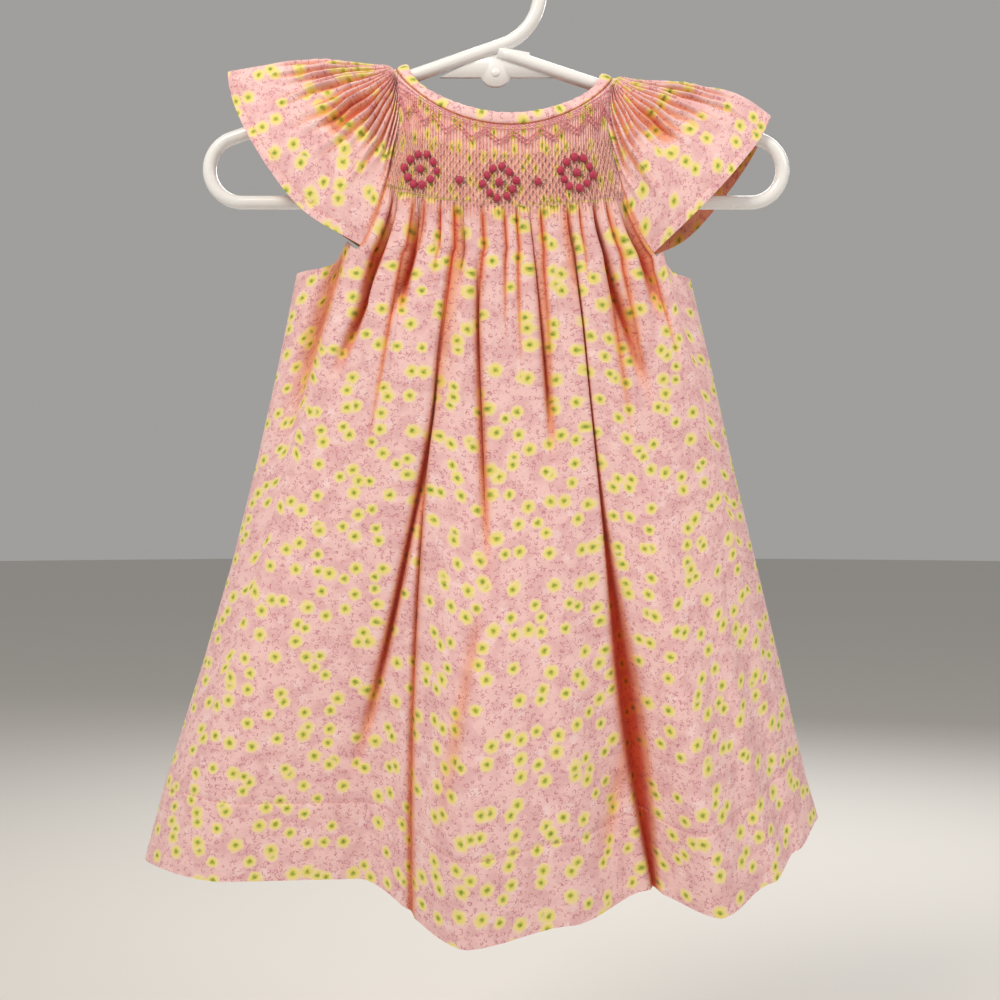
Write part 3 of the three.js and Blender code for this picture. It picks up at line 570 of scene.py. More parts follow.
@dataclass
class HangerForm:
    """The moulded hanger's centre line, in the plane y = 0."""

    tube: float = 3.5
    hook: tuple = (0.3, -18.5, 22.0, 184.0, 0.0)
    stem: tuple = (-6.9, -18.4, 29.1, 0.0, -71.4)
    left_arm: tuple = (2.4, -46.0, -135.2, -93.4)
    right_arm: tuple = (1.0, -49.5, 135.2, -94.2)
    end_x: float = 129.6
    bar_z: float = -126.2

    def shoulder(self, arm: tuple, x: float, lift: float) -> float:
        """Height of the neck ring where it sits on an arm: the arm's height plus lift square to it."""
        slope = (arm[3] - arm[1]) / (arm[2] - arm[0])
        return arm[1] + slope * (x - arm[0]) + lift * math.hypot(1.0, slope)


@dataclass
class NeckRing:
    """The seam between the gathered cloth and the binding: a tilted oval on the hanger's arms."""

    hanger: HangerForm
    x: float = 4.0
    half_width: float = 54.9
    reach: float = 22.0
    front_drop: float = 30.6
    back_drop: float = 21.5
    plan_power: float = 0.8
    drop_power: float = 1.5
    seat: float = 5.15
    front_lean: float = 5.0
    side_lean: float = 70.7

    def point(self, angle: np.ndarray) -> np.ndarray:
        """Ring point at an angle: 0 left shoulder, 90 front, 180 right shoulder, 270 back.

        Args:
            angle: in radians.

        Returns:
            x = centre - half_width cos a; y = -reach sign(sin a) |sin a|^0.8; z falls from the
            shoulders' line by drop |sin a|^1.5.
        """
        side, along = np.sin(angle), np.cos(angle)
        left = self.hanger.shoulder(self.hanger.left_arm, self.x - self.half_width, self.seat)
        right = self.hanger.shoulder(self.hanger.right_arm, self.x + self.half_width, self.seat)
        drop = np.where(side >= 0, self.front_drop, self.back_drop)
        return vec(self.x - self.half_width * along,
                   -np.sign(side) * self.reach * np.abs(side) ** self.plan_power,
                   lerp(left, right, (1 - along) / 2) - drop * np.abs(side) ** self.drop_power)

    def frame(self, angle: np.ndarray) -> tuple[np.ndarray, np.ndarray, np.ndarray]:
        """Frame on the ring.

        Args:
            angle: in radians.

        Returns:
            The point, the way across the binding towards the neck, and the way out of the cloth.
            The binding leans in by 5 degrees at the front and by 70.7 at the shoulders, by cos^2.
        """
        along = unit(self.point(angle + 0.01) - self.point(angle - 0.01))
        inward = unit(vec(-along[..., 1], along[..., 0], 0.0))
        lean = np.radians(lerp(self.front_lean, self.side_lean, np.cos(angle) ** 2))[..., None]
        across = np.cos(lean) * np.array([0.0, 0.0, 1.0]) + np.sin(lean) * inward
        across = unit(across - along * (across * along).sum(-1, keepdims=True))
        return self.point(angle), across, np.cross(along, across)


@dataclass(frozen=True)
class Fold:
    """A hanging fold: a trough along a line that may bow sideways.

    left and right are its widths at its foot and top their share at its head; fade is the share of
    its length over which it dies out; lip is how far the cloth beside it leans over the trough, minus
    from the right and plus from the left; a power above 2 gives the trough a flat floor; and belly,
    where it isn't 0, is the share of the length where the trough is widest.
    """

    from_x: float
    from_z: float
    to_x: float
    to_z: float
    bow: float
    deep: float
    left: float
    right: float
    fade: float
    lip: float = 0.0
    power: float = 2.0
    top: float = 0.65
    belly: float = 0.0
    belly_spread: float = 0.2
    opening: float = 0.22
    head_depth: float = 0.55
    full_shade_depth: float = 9.0
    shade_slope: float = 1.6

    def shape(self, x: np.ndarray, z: np.ndarray) -> tuple[np.ndarray, np.ndarray, np.ndarray]:
        """Depth, sideways lean and mark of the fold at a place.

        Args:
            x: places across.
            z: heights.

        Returns:
            deep * fades * exp(-|d / width|^power), with d the distance from the line;
            lip * fades * exp(-((d - width) / width)^2) on the lip's side; and the fold's painted shade,
            from
            0 to 1: the first without its depth, weaker where a fold is shallow or wide.
        """
        down = (self.from_z - z) / (self.from_z - self.to_z)
        line = lerp(self.from_x, self.to_x, down) + self.bow * 4 * down * (1 - down)
        spread = np.clip(down, 0, 1)
        if self.belly > 0:
            spread = np.exp(-(((down - self.belly) / self.belly_spread) ** 2))
        grow = lerp(self.top, 1.0, spread)
        away = x - line
        width = np.where(away < 0, self.left, self.right) * grow
        fades = ease(down, 0.0, self.opening) * np.where((down > 0) & (down < 1), 1.0, 0.0)
        if self.fade > 0:
            fades = fades * (1 - ease(down, 1 - self.fade, 1.0))
        lip_width = (self.right if self.lip < 0 else self.left) * grow
        beside = (away - lip_width * (1 if self.lip < 0 else -1)) / lip_width
        trough = fades * np.exp(-(np.abs(away / width) ** self.power))
        # The third value is the fold's painted shade, weaker where it is shallow or wide
        steep = self.deep / (self.shade_slope * max(self.left, self.right))
        return (self.deep * lerp(self.head_depth, 1.0, grow) * trough,
                self.lip * fades * np.exp(-(beside**2)),
                trough * min(1.0, self.deep / self.full_shade_depth, steep))


@dataclass
class BodyForm:
    """One side of the dress's body, from the neck ring to the hem, as functions of two shares."""

    ring: NeckRing
    side: Side
    depth: float
    low_depth: float
    corner: tuple[float, float]
    corner_z: tuple[float, float]
    peak_z: tuple[float, float]
    hem: list[tuple[float, float, float]]
    folds: list[Fold]
    pleats: int
    gather_seed: int
    seam_z: tuple[float, float] = (-163.0, -165.6)
    sections: tuple = ((-120, -101.4, 97.8, 0), (-163, -101.4, 97.8, 0), (-212, -111.3, 109.5, 1.5),
                       (-260, -122, 120.5, 4), (-309, -134, 132.4, 6), (-360, -148.8, 145, 9),
                       (-421, -168, 159.5, 11.5), (-500, -189, 183, 13))
    armhole: tuple = ((0, 0), (0.36, 0.08), (0.6, 0.25), (0.72, 0.62), (0.8, 1))
    raglan: float = math.radians(14)
    hem_share: float = 0.3
    fan_power: float = 0.5
    seam_round: float = 0.07
    deepest: float = 15.0
    skirt_from: float = -150.0
    skirt_fall: float = 310.0
    fold_shade: float = 1.0
    swing_power: float = 3.0

    def outline(self, z: np.ndarray, column: int) -> np.ndarray:
        """A side seam's place at a height: 1 the left seam's x, 2 the right seam's x, 3 their y."""
        rows = np.array(self.sections, float)[::-1]
        return np.interp(z, rows[:, 0], rows[:, column])

    def stand_out(self, across: np.ndarray, x: np.ndarray, z: np.ndarray) -> tuple:
        """How far the cloth stands out from the side seams' plane.

        Args:
            across: 0 at the left seam to 1 at the right.
            x: the same place in millimetres.
            z: height.

        Returns:
            An oval, depth sqrt(1 - (2a - 1)^2), that turns into the hem's wave on the way down; the
            folds' depth; their painted shade, 0 to 1; and the lean of their lips.
        """
        oval = np.sqrt(np.clip(1 - (2 * across - 1) ** 2, 0, None))
        down = np.clip((self.skirt_from - z) / self.skirt_fall, 0, 1)
        upper = lerp(self.depth, self.low_depth, down) * oval
        wave = ease(down, 0.15, 1.0) ** 1.3
        keys = [row[0] for row in self.hem]
        rounding = np.clip(np.minimum(across, 1 - across) / self.seam_round, 0, 1)
        lower = eased_table(across, keys, [row[1] for row in self.hem])
        lower = lower * np.sqrt(1 - (1 - rounding) ** 2)
        edge = ease(oval, 0.15, 0.6)
        shapes = [fold.shape(x, z) for fold in self.folds]
        sunk = np.minimum(sum(shape[0] for shape in shapes), self.deepest) * edge
        lean = sum(shape[1] for shape in shapes) * edge
        # Painted shade of the folds, scaled by fold_shade
        mark = np.max([shape[2] for shape in shapes], axis=0) * edge * self.fold_shade
        return lerp(upper, lower, wave), sunk, mark, lean

    def skirt(self, across: np.ndarray, down: np.ndarray, folded: np.ndarray = 1.0) -> tuple:
        """The skirt below the yoke.

        Args:
            across: share across at the top; columns fan out towards the hem.
            down: 0 at the top edge to 1 at the hem.
            folded: share of the folds to apply.

        Returns:
            Points, and the folds' painted shade at each one, 0 to 1.
        """
        left, right = self.corner
        middle = (across >= left) & (across <= right)
        share = (across - left) / (right - left)
        hand = across < left
        reach = np.where(hand, left, 1 - right)
        beside = np.clip(np.where(hand, across, 1 - across) / reach, 0, 1)
        rise = np.interp(beside, [row[0] for row in self.armhole], [row[1] for row in self.armhole])
        peak = np.where(hand, *(lerp(low, high, rise) for low, high in zip(self.seam_z, self.peak_z)))
        foot = np.where(hand, self.corner_z[0], self.corner_z[1]) - 1
        side_top = lerp(peak, foot, ease(beside, self.armhole[-1][0], 1.0))
        top = np.where(middle, lerp(self.corner_z[0], self.corner_z[1], share), side_top)
        side_hem = np.where(hand, beside * reach * self.hem_share, 1 - beside * reach * self.hem_share)
        hem_across = np.where(middle, lerp(left * self.hem_share, 1 - (1 - right) * self.hem_share, share),
                              side_hem)
        here = lerp(across, hem_across, down**self.fan_power)
        keys = [row[0] for row in self.hem]
        z = lerp(top, eased_table(hem_across, keys, [row[2] for row in self.hem]), down)
        x = lerp(self.outline(z, 1), self.outline(z, 2), here)
        out, sunk, mark, lean = self.stand_out(here, x, z)
        y = self.outline(z, 3) * here + self.side.value * (out - sunk * folded)
        return vec(x + lean * folded, y, z), mark * folded

    def turn(self, share: np.ndarray) -> np.ndarray:
        """Ring angle above a share of the yoke's width."""
        angle = lerp(self.raglan, math.pi - self.raglan, share)
        return angle if self.side is Side.FRONT else 2 * math.pi - angle

    def yoke(self, share: np.ndarray, down: np.ndarray, folded: float = 1.0) -> np.ndarray:
        """The yoke: columns drop from the ring and swing out to the skirt.

        Args:
            share: 0 at the left raglan seam to 1 at the right.
            down: 0 at the ring to 1 at the skirt's top.
            folded: share of the folds to apply.

        Returns:
            x by down^3, y by 1 - (1 - down)^2.5, z evenly; the skirt's folds begin below the smocking.
        """
        point, across, _ = self.ring.frame(self.turn(share))
        start = point - RING_TUCK * across
        foot, _ = self.yoke_foot(share, down, folded)
        return vec(lerp(start[..., 0], foot[..., 0], down**self.swing_power),
                   lerp(start[..., 1], foot[..., 1], 1 - (1 - down) ** TUCK_POWER),
                   lerp(start[..., 2], foot[..., 2], down))

    def yoke_foot(self, share: np.ndarray, down: np.ndarray, folded: float = 1.0) -> tuple:
        """Where a column of the yoke ends and the folds' painted shade there; folds enter over its last
        part.
        """
        across = lerp(self.corner[0], self.corner[1], share)
        return self.skirt(across, np.zeros_like(share), folded * ease(down, 0.6, 1.0))

    def yoke_normal(self, share: np.ndarray, down: np.ndarray) -> np.ndarray:
        """Unit normals of the yoke, out of the cloth, by small differences."""
        step = 0.01
        low, high = np.clip(down - step, 0, 1), np.clip(down + step, 0, 1)
        across = self.yoke(share + step, down) - self.yoke(share - step, down)
        return unit(np.cross(across, self.yoke(share, high) - self.yoke(share, low))) * self.side.value

    def skirt_normal(self, across: np.ndarray, down: np.ndarray) -> np.ndarray:
        """Unit normals of the skirt, out of the cloth, by small differences."""
        wide, tall = 0.004, 0.01
        left, right = np.clip(across - wide, 0, 1), np.clip(across + wide, 0, 1)
        low, high = np.clip(down - tall, 0, 1), np.clip(down + tall, 0, 1)
        span = self.skirt(right, down)[0] - self.skirt(left, down)[0]
        drop = self.skirt(across, high)[0] - self.skirt(across, low)[0]
        return unit(np.cross(span, drop)) * self.side.value


@dataclass
class Smocking:
    """Pleats drawn up by hand and held by rows of floss, from the binding down to the released edge."""

    body: BodyForm
    relief: float = 1.45
    released: float = 0.66
    middle_power: float = 1.06
    edge_power: float = 0.72
    honeycomb_from: float = 0.4
    row_pitch: float = 0.06
    pinch: float = 0.24
    tube_pleats: float = 2.9
    tube_relief: float = 3.4
    tube_power: float = 0.7
    tube_level: float = 0.6
    ridge_power: float = 1.6
    plain: float = 0.0

    def down(self, row: np.ndarray, pleat: np.ndarray) -> np.ndarray:
        """Share down the yoke of a smocked row: released * row^power, rows sagging in the middle."""
        side = np.clip(2 * pleat / self.body.pleats - 1, -1, 1) ** 2
        return self.released * np.clip(row, 0, None) ** lerp(self.middle_power, self.edge_power, side)

    def row(self, down: np.ndarray, pleat: np.ndarray) -> np.ndarray:
        """Row at a share down the yoke: the inverse of down(); 1 is the released edge."""
        side = np.clip(2 * pleat / self.body.pleats - 1, -1, 1) ** 2
        return (down / self.released) ** (1 / lerp(self.middle_power, self.edge_power, side))

    def shift(self, pleat: np.ndarray, row: np.ndarray) -> np.ndarray:
        """Sideways pinch in pleats: pinch cos(pi (k - 1/2)) cos(pi r / pitch), in the honeycomb only."""
        window = ease(row, self.honeycomb_from - 0.02, self.honeycomb_from + 0.04) * (
            1 - ease(row, 1.0, 1.08))
        return self.pinch * window * np.cos(np.pi * (pleat - 0.5)) * np.cos(
            np.pi * (row - self.honeycomb_from) / self.row_pitch)

    def edge(self, pleat: np.ndarray) -> np.ndarray:
        """1 on the gathered cloth, 0 at its seams and on a plain strip at the centre back."""
        flat = ease(np.minimum(pleat, self.body.pleats - pleat), 0.0, 0.8)
        if self.plain > 0:
            flat = flat * ease(np.abs(pleat - self.body.pleats / 2), self.plain, self.plain + 1)
        return flat

    def height(self, pleat: np.ndarray, row: np.ndarray) -> np.ndarray:
        """Height of the cloth over the plain wall.

        Args:
            pleat: number of pleats from the left raglan seam.
            row: smocked row, 0 at the binding and 1 at the released edge.

        Returns:
            relief (1 - |cos(pi p)|^1.6), a rounded ridge to each pleat, dying out below the held rows.
        """
        ridge = 1 - np.abs(np.cos(np.pi * pleat)) ** self.ridge_power
        span = ease(row, 0.0, 0.05) * (1 - 0.85 * ease(row, 1.0, 1.3))
        return self.relief * ridge * span * self.edge(pleat)

    def tubes(self, pleat: np.ndarray, below: np.ndarray) -> tuple[np.ndarray, np.ndarray]:
        """The loose tubes that several pleats open into below the held rows.

        Args:
            pleat: number of pleats from the left raglan seam.
            below: 0 at the released edge to 1 at the hem.

        Returns:
            tube_relief (|sin(pi u)|^0.7 - 0.6), round tubes with narrow valleys that wander and die
            out one by one; and painted shade in the valleys, 0 to 1.
        """
        rng = np.random.default_rng(self.body.gather_seed)
        a, b, c = rng.uniform(0, 6.28, 3)
        even = pleat / self.tube_pleats
        count = even + 0.22 * np.sin(1.6 * even + a) + 0.12 * np.sin(3.77 * even + b)
        count = count + 0.25 * below * np.sin(0.9 * even + c)
        number = np.round(count).astype(int)
        long = rng.uniform(0.12, 0.5, 60)[np.clip(number, 0, 59)]
        deep = rng.uniform(0.55, 1.1, 60)[np.clip(number, 0, 59)]
        round_top = np.abs(np.sin(np.pi * count)) ** self.tube_power
        fade = ease(below, -0.01, 0.03) * (1 - ease(below, 0.25 * long, long)) * self.edge(pleat)
        # The second value is painted shade in the tubes' valleys
        return (self.tube_relief * (round_top - self.tube_level) * fade * lerp(deep, 0.8, round_top),
                (1 - round_top) ** 1.5 * fade)

    def place(self, pleat: np.ndarray, row: np.ndarray, lift: float) -> tuple[np.ndarray, np.ndarray]:
        """A point on the yoke's outer face and its normal.

        Args:
            pleat: number of pleats from the left raglan seam.
            row: smocked row.
            lift: extra height.

        Returns:
            Point and unit normal.
        """
        share = (pleat + self.shift(pleat, row)) / self.body.pleats
        down = self.down(row, pleat)
        normal = self.body.yoke_normal(share, down)
        rise = CLOTH_LIFT + self.height(pleat, row) + lift
        return self.body.yoke(share, down) + normal * rise[..., None], normal


@dataclass
class BodyPanel:
    """A body panel as one grid: the gathered yoke on top of the wider skirt."""

    name: str
    smocking: Smocking
    per_pleat: int
    yoke_rows: int
    skirt_rows: int
    side_columns: int = 16
    cloth: float = 0.45
    hem_cloth: float = 1.0
    hem_depth: float = 38.0
    skirt_length: float = 310.0
    unroll: float = 600.0
    fullness: float = 2.0
    let_out: tuple[float, float] = (0.652, 0.66)
    yoke_share: float = 0.28
    row_crowding: float = 1.25
    # Strengths of painted shade: over the smocked ridges, in the pleats' valleys and beside the raglan
    # seams
    ridge_shade: float = 0.02
    pleat_shade: float = 0.34
    seam_shade: float = 0.5

    def columns(self) -> tuple[np.ndarray, np.ndarray]:
        """Shares across at the yoke's foot, and the number of pleats at each column."""
        body = self.smocking.body
        left, right = body.corner
        count = body.pleats * self.per_pleat
        side = 0.5 * (1 - np.cos(np.linspace(0, np.pi * 0.94, self.side_columns, endpoint=False)))
        gathered = np.linspace(0, 1, count + 1)
        across = np.concatenate([side * left, lerp(left, right, gathered), 1 - side[::-1] * (1 - right)])
        pleat = (across - left) / (right - left) * body.pleats
        return across, pleat

    def build(self) -> tuple[np.ndarray, ...]:
        """Works the grid out.

        Returns:
            Outer points, normals, thickness, cut-cloth coordinates, painted fold shade and the way to the
            hem's stitches.
        """
        body, smocking = self.smocking.body, self.smocking
        across, pleat = self.columns()
        yoke_down = np.linspace(0, 1, self.yoke_rows, endpoint=False)
        skirt_down = np.linspace(0, 1, self.skirt_rows) ** self.row_crowding
        grid_pleat, grid_down = np.meshgrid(pleat, yoke_down)
        row = smocking.row(grid_down, grid_pleat)
        share = (grid_pleat + smocking.shift(grid_pleat, row)) / body.pleats
        gathered = (grid_pleat >= -1e-6) & (grid_pleat <= body.pleats + 1e-6)
        clear = np.where(gathered, share, 0.5)
        plain = body.yoke(clear, grid_down)
        normal = body.yoke_normal(clear, grid_down)
        height = smocking.height(grid_pleat, row)
        wave, valley = smocking.tubes(grid_pleat, (grid_down - smocking.released) * self.yoke_share)
        rise = CLOTH_LIFT + height + wave
        yoke = np.where(gathered[..., None], plain + normal * rise[..., None], np.nan)
        # Painted shade for the fold attribute: a faint cast over the held smocking, more in the pleats'
        # valleys, beside the raglan seams and where the skirt's folds begin
        held = ease(row, 0, 0.08) * (1 - ease(row, 1.0, 1.3)) * smocking.edge(grid_pleat)
        pleat_painted_shade = held * (self.ridge_shade + self.pleat_shade * (1 - height / smocking.relief) ** 2)
        to_seam = np.minimum(grid_pleat, body.pleats - grid_pleat)
        seam_painted_shade = self.seam_shade * (1 - ease(to_seam, 0, 2.0)) * ease(row, 0, 0.08)
        shut = body.yoke_foot(clear, grid_down)[1] * grid_down**2
        yoke_painted_shade = np.clip(np.max([pleat_painted_shade, valley, shut, seam_painted_shade], axis=0), 0, 1)
        smooth_yoke = np.where(gathered[..., None], body.yoke(clear, grid_down, 0.0), np.nan)

        grid_across, skirt_grid = np.meshgrid(across, skirt_down)
        grid_pleat = np.meshgrid(pleat, skirt_down)[0]
        base, fold = body.skirt(grid_across, skirt_grid)
        side_normal = body.skirt_normal(grid_across, skirt_grid)
        start = (1 - smocking.released) * self.yoke_share
        wave, valley = smocking.tubes(grid_pleat, start + (1 - start) * skirt_grid)
        skirt = base + side_normal * (CLOTH_LIFT + wave)[..., None]
        # Painted shade of the skirt's folds and of the tubes' valleys
        skirt_painted_shade = np.clip(np.maximum(fold, valley), 0, 1)

        outer = np.concatenate([yoke, skirt])
        normals = np.concatenate([normal, side_normal])
        folds = np.concatenate([yoke_painted_shade, skirt_painted_shade])
        below = np.concatenate([np.zeros(self.yoke_rows), skirt_down * self.skirt_length])
        hem = ease(below, self.skirt_length - self.hem_depth, self.skirt_length - self.hem_depth + 2)
        thick = np.broadcast_to(lerp(self.cloth, self.hem_cloth, hem)[:, None], folds.shape).copy()
        smooth_skirt = body.skirt(grid_across, skirt_grid, 0.0)[0]
        uv = self.flatten(np.concatenate([smooth_yoke, smooth_skirt]), pleat)
        to_stitches = SEAM_ZERO + self.skirt_length - self.hem_depth - below
        seam = np.broadcast_to(to_stitches[:, None], folds.shape)
        return outer, normals, thick, uv, folds, seam

    def flatten(self, smooth: np.ndarray, pleat: np.ndarray) -> np.ndarray:
        """Cut-cloth coordinates: each row is laid out by its own arc length on a flat sector.

        Args:
            smooth: the grid's points without the folds, which would shear the print beside them.
            pleat: number of pleats at each column.

        Returns:
            (r sin t, -r cos t), r growing with the length down and t = arc length from the middle / r.
            In the smocking arc lengths count for more, because most of the cloth there is folded in.
        """
        step = np.linalg.norm(np.diff(smooth, axis=1), axis=-1)
        arc = np.concatenate([np.zeros((len(smooth), 1)), np.nancumsum(step, axis=1)], axis=1)
        middle = int(np.argmin(np.abs(pleat - self.smocking.body.pleats / 2)))
        arc = arc - arc[:, middle:middle + 1]
        rows = np.arange(len(smooth)) / self.yoke_rows
        arc = arc * lerp(self.fullness, 1.0, ease(rows, *self.let_out))[:, None]
        middle_z = smooth[:, middle, 2]
        radius = (self.unroll + middle_z[self.yoke_rows] - middle_z)[:, None]
        return np.stack([radius * np.sin(arc / radius), -radius * np.cos(arc / radius)], -1)


def front_form(ring: NeckRing) -> BodyForm:
    """The front: two deep folds run to the hem, the others die out above it."""
    folds = [
        Fold(-50, -112, -68, -186, 0, 7, 3.5, 4.0, 0.35, -1.0, 4),
        Fold(-70, -138, -110, -265, 0, 9, 11, 4.5, 0.6, -2.0),
        Fold(-43, -120, -84, -225, 2, 11, 5.5, 4.0, 0.5, -1.5, 4, 0.4),
        Fold(-33, -120, -51, -192, 1, 10, 5.0, 4.0, 0.4, -1.0, 4, 0.4),
        Fold(-29, -122, -30, -158, 0, 5, 2.0, 2.0, 0.4),
        Fold(-22, -150, -40, -480, -6.5, 6, 2.8, 2.4, 0, -1.0),
        Fold(-27, -206, -74, -428, 2, 11, 3.6, 4.6, 0.45, 2.0, 3),
        Fold(-6, -320, -30, -455, 0, 2.5, 6, 5, 0.5),
        Fold(64, -390, 50, -462, 0, 2.5, 6, 5, 0.4),
        Fold(-11, -124, -20, -182, 0, 4.5, 2.6, 2.4, 0.5, 0.8),
        Fold(-10, -150, -3, -335, 0, 7, 3.6, 2.8, 0.5, -1.0),
        Fold(14, -120, 29, -268, 0, 8, 3.0, 3.6, 0.4, 1.2, 3, 0.5),
        Fold(36, -120, 79, -480, -4, 14, 6.5, 8, 0, 2.0, 4, 0.25, 0.74),
        Fold(44, -118, 78, -235, -2, 11, 4, 5.5, 0.5, 1.5, 4, 0.5),
        Fold(58, -116, 84, -196, 0, 11, 4.0, 8, 0.5, 1.5, 4, 0.5),
    ]
    hem = [(0, 22, -460), (0.126, 36, -464.5), (0.32, 30, -465), (0.47, 68, -490), (0.61, 60, -481),
           (0.72, 37, -470), (0.81, 54, -480), (0.895, 38, -467), (0.945, 24, -454.5), (1, 16, -442)]
    return BodyForm(ring, Side.FRONT, 27, 38, (0.168, 0.908), (-152.5, -155.5), (-148.5, -153.5), hem,
                    folds, 84, 11)


def back_form(ring: NeckRing) -> BodyForm:
    """The back: not seen in the photograph, hung like the front with shallower folds."""
    folds = [
        Fold(-62, -138, -112, -300, 0, 7, 9, 4.5, 0.5, -1.0),
        Fold(-36, -134, -66, -475, 4, 9, 10, 4.5, 0, -1.5),
        Fold(-16, -138, -22, -300, 0, 5, 4, 5, 0.5),
        Fold(22, -138, 30, -330, 0, 5, 4, 5, 0.5),
        Fold(44, -134, 86, -475, -4, 9, 4.5, 10, 0, 1.5),
        Fold(68, -138, 108, -290, 0, 7, 4.5, 9, 0.5, 1.0),
    ]
    hem = [(0, 18, -460), (0.15, 30, -464), (0.28, 19, -458), (0.4, 36, -466), (0.52, 24, -461),
           (0.65, 38, -466), (0.78, 22, -457), (0.9, 27, -453), (1, 20, -442)]
    return BodyForm(ring, Side.BACK, 20, 27, (0.17, 0.905), (-151, -154), (-149, -154), hem, folds, 30, 5,
                    fold_shade=0.75)


@dataclass
class Sleeve:
    """A flutter sleeve: a fan of pleats from the neck ring, over the arm, to a wide open hem."""

    name: str
    hand: Hand
    arch: float
    arch_power: float
    front: list
    ridge: tuple
    back: list
    front_form: BodyForm
    back_form: BodyForm
    front_pleats: int = 17
    back_pleats: int = 10
    per_pleat: int = 8
    rows: int = 84
    relief: float = 2.1
    end: float = 0.985
    cloth: float = 0.45
    edge_cloth: float = 0.9
    stitched_at: float = 4.5
    unroll: float = 22.0
    print_aside: float = 700.0
    blend: float = 0.12
    flutter: float = 2.2
    ridge_power: float = 1.3
    swell: float = 0.9
    dent_at: float = 7.6
    dent_wide: float = 0.8
    dent_deep: float = 2.6
    # Strengths of painted shade in the valleys, at the dent and beside the seams
    valley_shade: float = 0.6
    dent_shade: float = 0.45
    seam_shade: float = 0.5

    def seam(self, form: BodyForm, down: np.ndarray) -> np.ndarray:
        """The raglan seam shared with a body panel, a seam's half gap outside it."""
        share = np.full_like(down, 0.0 if self.hand is Hand.LEFT else 1.0)
        away = np.array([self.hand.value * 0.35, 0.0, 0.0])
        return form.yoke(share, down * self.end) + away

    def hem_line(self, share: np.ndarray) -> np.ndarray:
        """The hem from the front seam over the ridge to the back seam, as a smooth spline.

        Args:
            share: 0 at the front seam to 1 at the back seam.

        Returns:
            Points of a centripetal Catmull-Rom curve through the hem's stations.
        """
        ends = [self.seam(form, np.array([1.0]))[0] for form in (self.front_form, self.back_form)]
        stations = np.array([ends[0], *self.front, self.ridge, *self.back, ends[1]], float)
        before, after = 2 * stations[0] - stations[1], 2 * stations[-1] - stations[-2]
        padded = np.concatenate([[before], stations, [after]])
        knots = np.concatenate([[0.0], np.cumsum(np.linalg.norm(np.diff(padded, axis=0), axis=1) ** 0.5)])
        at = share * (len(stations) - 1)
        k = np.clip(at.astype(int), 0, len(stations) - 2)
        t = lerp(knots[k + 1], knots[k + 2], at - k)[..., None]
        p, q = [padded[k + n] for n in range(4)], [knots[k + n][..., None] for n in range(4)]
        first = [(q[n + 1] - t) / (q[n + 1] - q[n]) * p[n] + (t - q[n]) / (q[n + 1] - q[n]) * p[n + 1]
                 for n in range(3)]
        second = [(q[n + 2] - t) / (q[n + 2] - q[n]) * first[n]
                  + (t - q[n]) / (q[n + 2] - q[n]) * first[n + 1] for n in range(2)]
        return (q[2] - t) / (q[2] - q[1]) * second[0] + (t - q[1]) / (q[2] - q[1]) * second[1]

    def plain(self, share: np.ndarray, down: np.ndarray) -> np.ndarray:
        """The sleeve's plain surface.

        Args:
            share: -1 at the front seam, 0 on the shoulder ridge, 1 at the back seam.
            down: 0 at the neck to 1 at the hem.

        Returns:
            Straight columns from ring to hem that arch on the shoulder, belly out at front and back,
            flutter near the hem, and blend into the seams at both edges.
        """
        body = self.fan(share, down)
        for form, edge in ((self.front_form, -1.0), (self.back_form, 1.0)):
            close = (1 - ease(np.abs(share - edge), 0.0, self.blend))[..., None]
            body = body + (self.seam(form, down) - self.fan(np.full_like(down, edge), down)) * close
        return body

    def fan(self, share: np.ndarray, down: np.ndarray) -> np.ndarray:
        """The sleeve's surface before its edges are drawn to the seams; share and down as in plain."""
        shoulder = 0.0 if self.hand is Hand.LEFT else math.pi
        angle = shoulder + self.front_form.raglan * share * self.hand.value
        point, across, _ = self.front_form.ring.frame(angle)
        start = point - RING_TUCK * across
        foot = self.hem_line((share + 1) / 2)
        bend = np.abs(share)
        reach = down ** (1 + 2 * bend**3)
        arch = self.arch * np.sin(np.pi * down**self.arch_power) * (1 - bend) ** 2
        flutter = self.flutter * np.sin(5 * np.pi * bend) * down**3 * (1 - bend) * np.sign(share)
        return vec(lerp(start[..., 0], foot[..., 0], reach),
                   lerp(start[..., 1], foot[..., 1], 1 - (1 - down) ** TUCK_POWER) + flutter,
                   lerp(start[..., 2], foot[..., 2], down) + arch)

    def pleating(self, count: np.ndarray, down: np.ndarray) -> tuple[np.ndarray, np.ndarray]:
        """Height of the radiating pleats.

        Args:
            count: pleats from the front seam.
            down: 0 at the neck to 1 at the hem.

        Returns:
            Ridges of uneven height and length that wander a little and widen towards the hem, with one
            soft dent where a valley ends, and painted shade in the valleys, at the dent and beside the
            seams.
        """
        total = self.front_pleats + self.back_pleats
        rng = np.random.default_rng(SEED + self.hand.value)
        number = np.clip(count.astype(int), 0, total - 1)
        tall = rng.uniform(0.75, 1.25, total)[number]
        long = rng.uniform(0.6, 0.92, total)
        long[3::5] += 0.1
        wobble = 0.13 * np.sin(9 * down + count * 1.7) + 0.08 * np.sin(23 * down + count * 0.9)
        ridge = 1 - np.abs(np.cos(np.pi * (count + wobble))) ** self.ridge_power
        fade = ease(down, 0.0, 0.06) * (1 - ease(down / long[number], 0.45, 1.0))
        edge = ease(np.minimum(count, total - count), 0.0, 0.6)
        swell = 1 + self.swell * ease(down, 0.1, 0.45)
        dent = np.exp(-(((count - self.dent_at) / self.dent_wide) ** 2))
        dent = dent * ease(down, 0.2, 0.5) * (1 - ease(down, 0.56, 0.68))
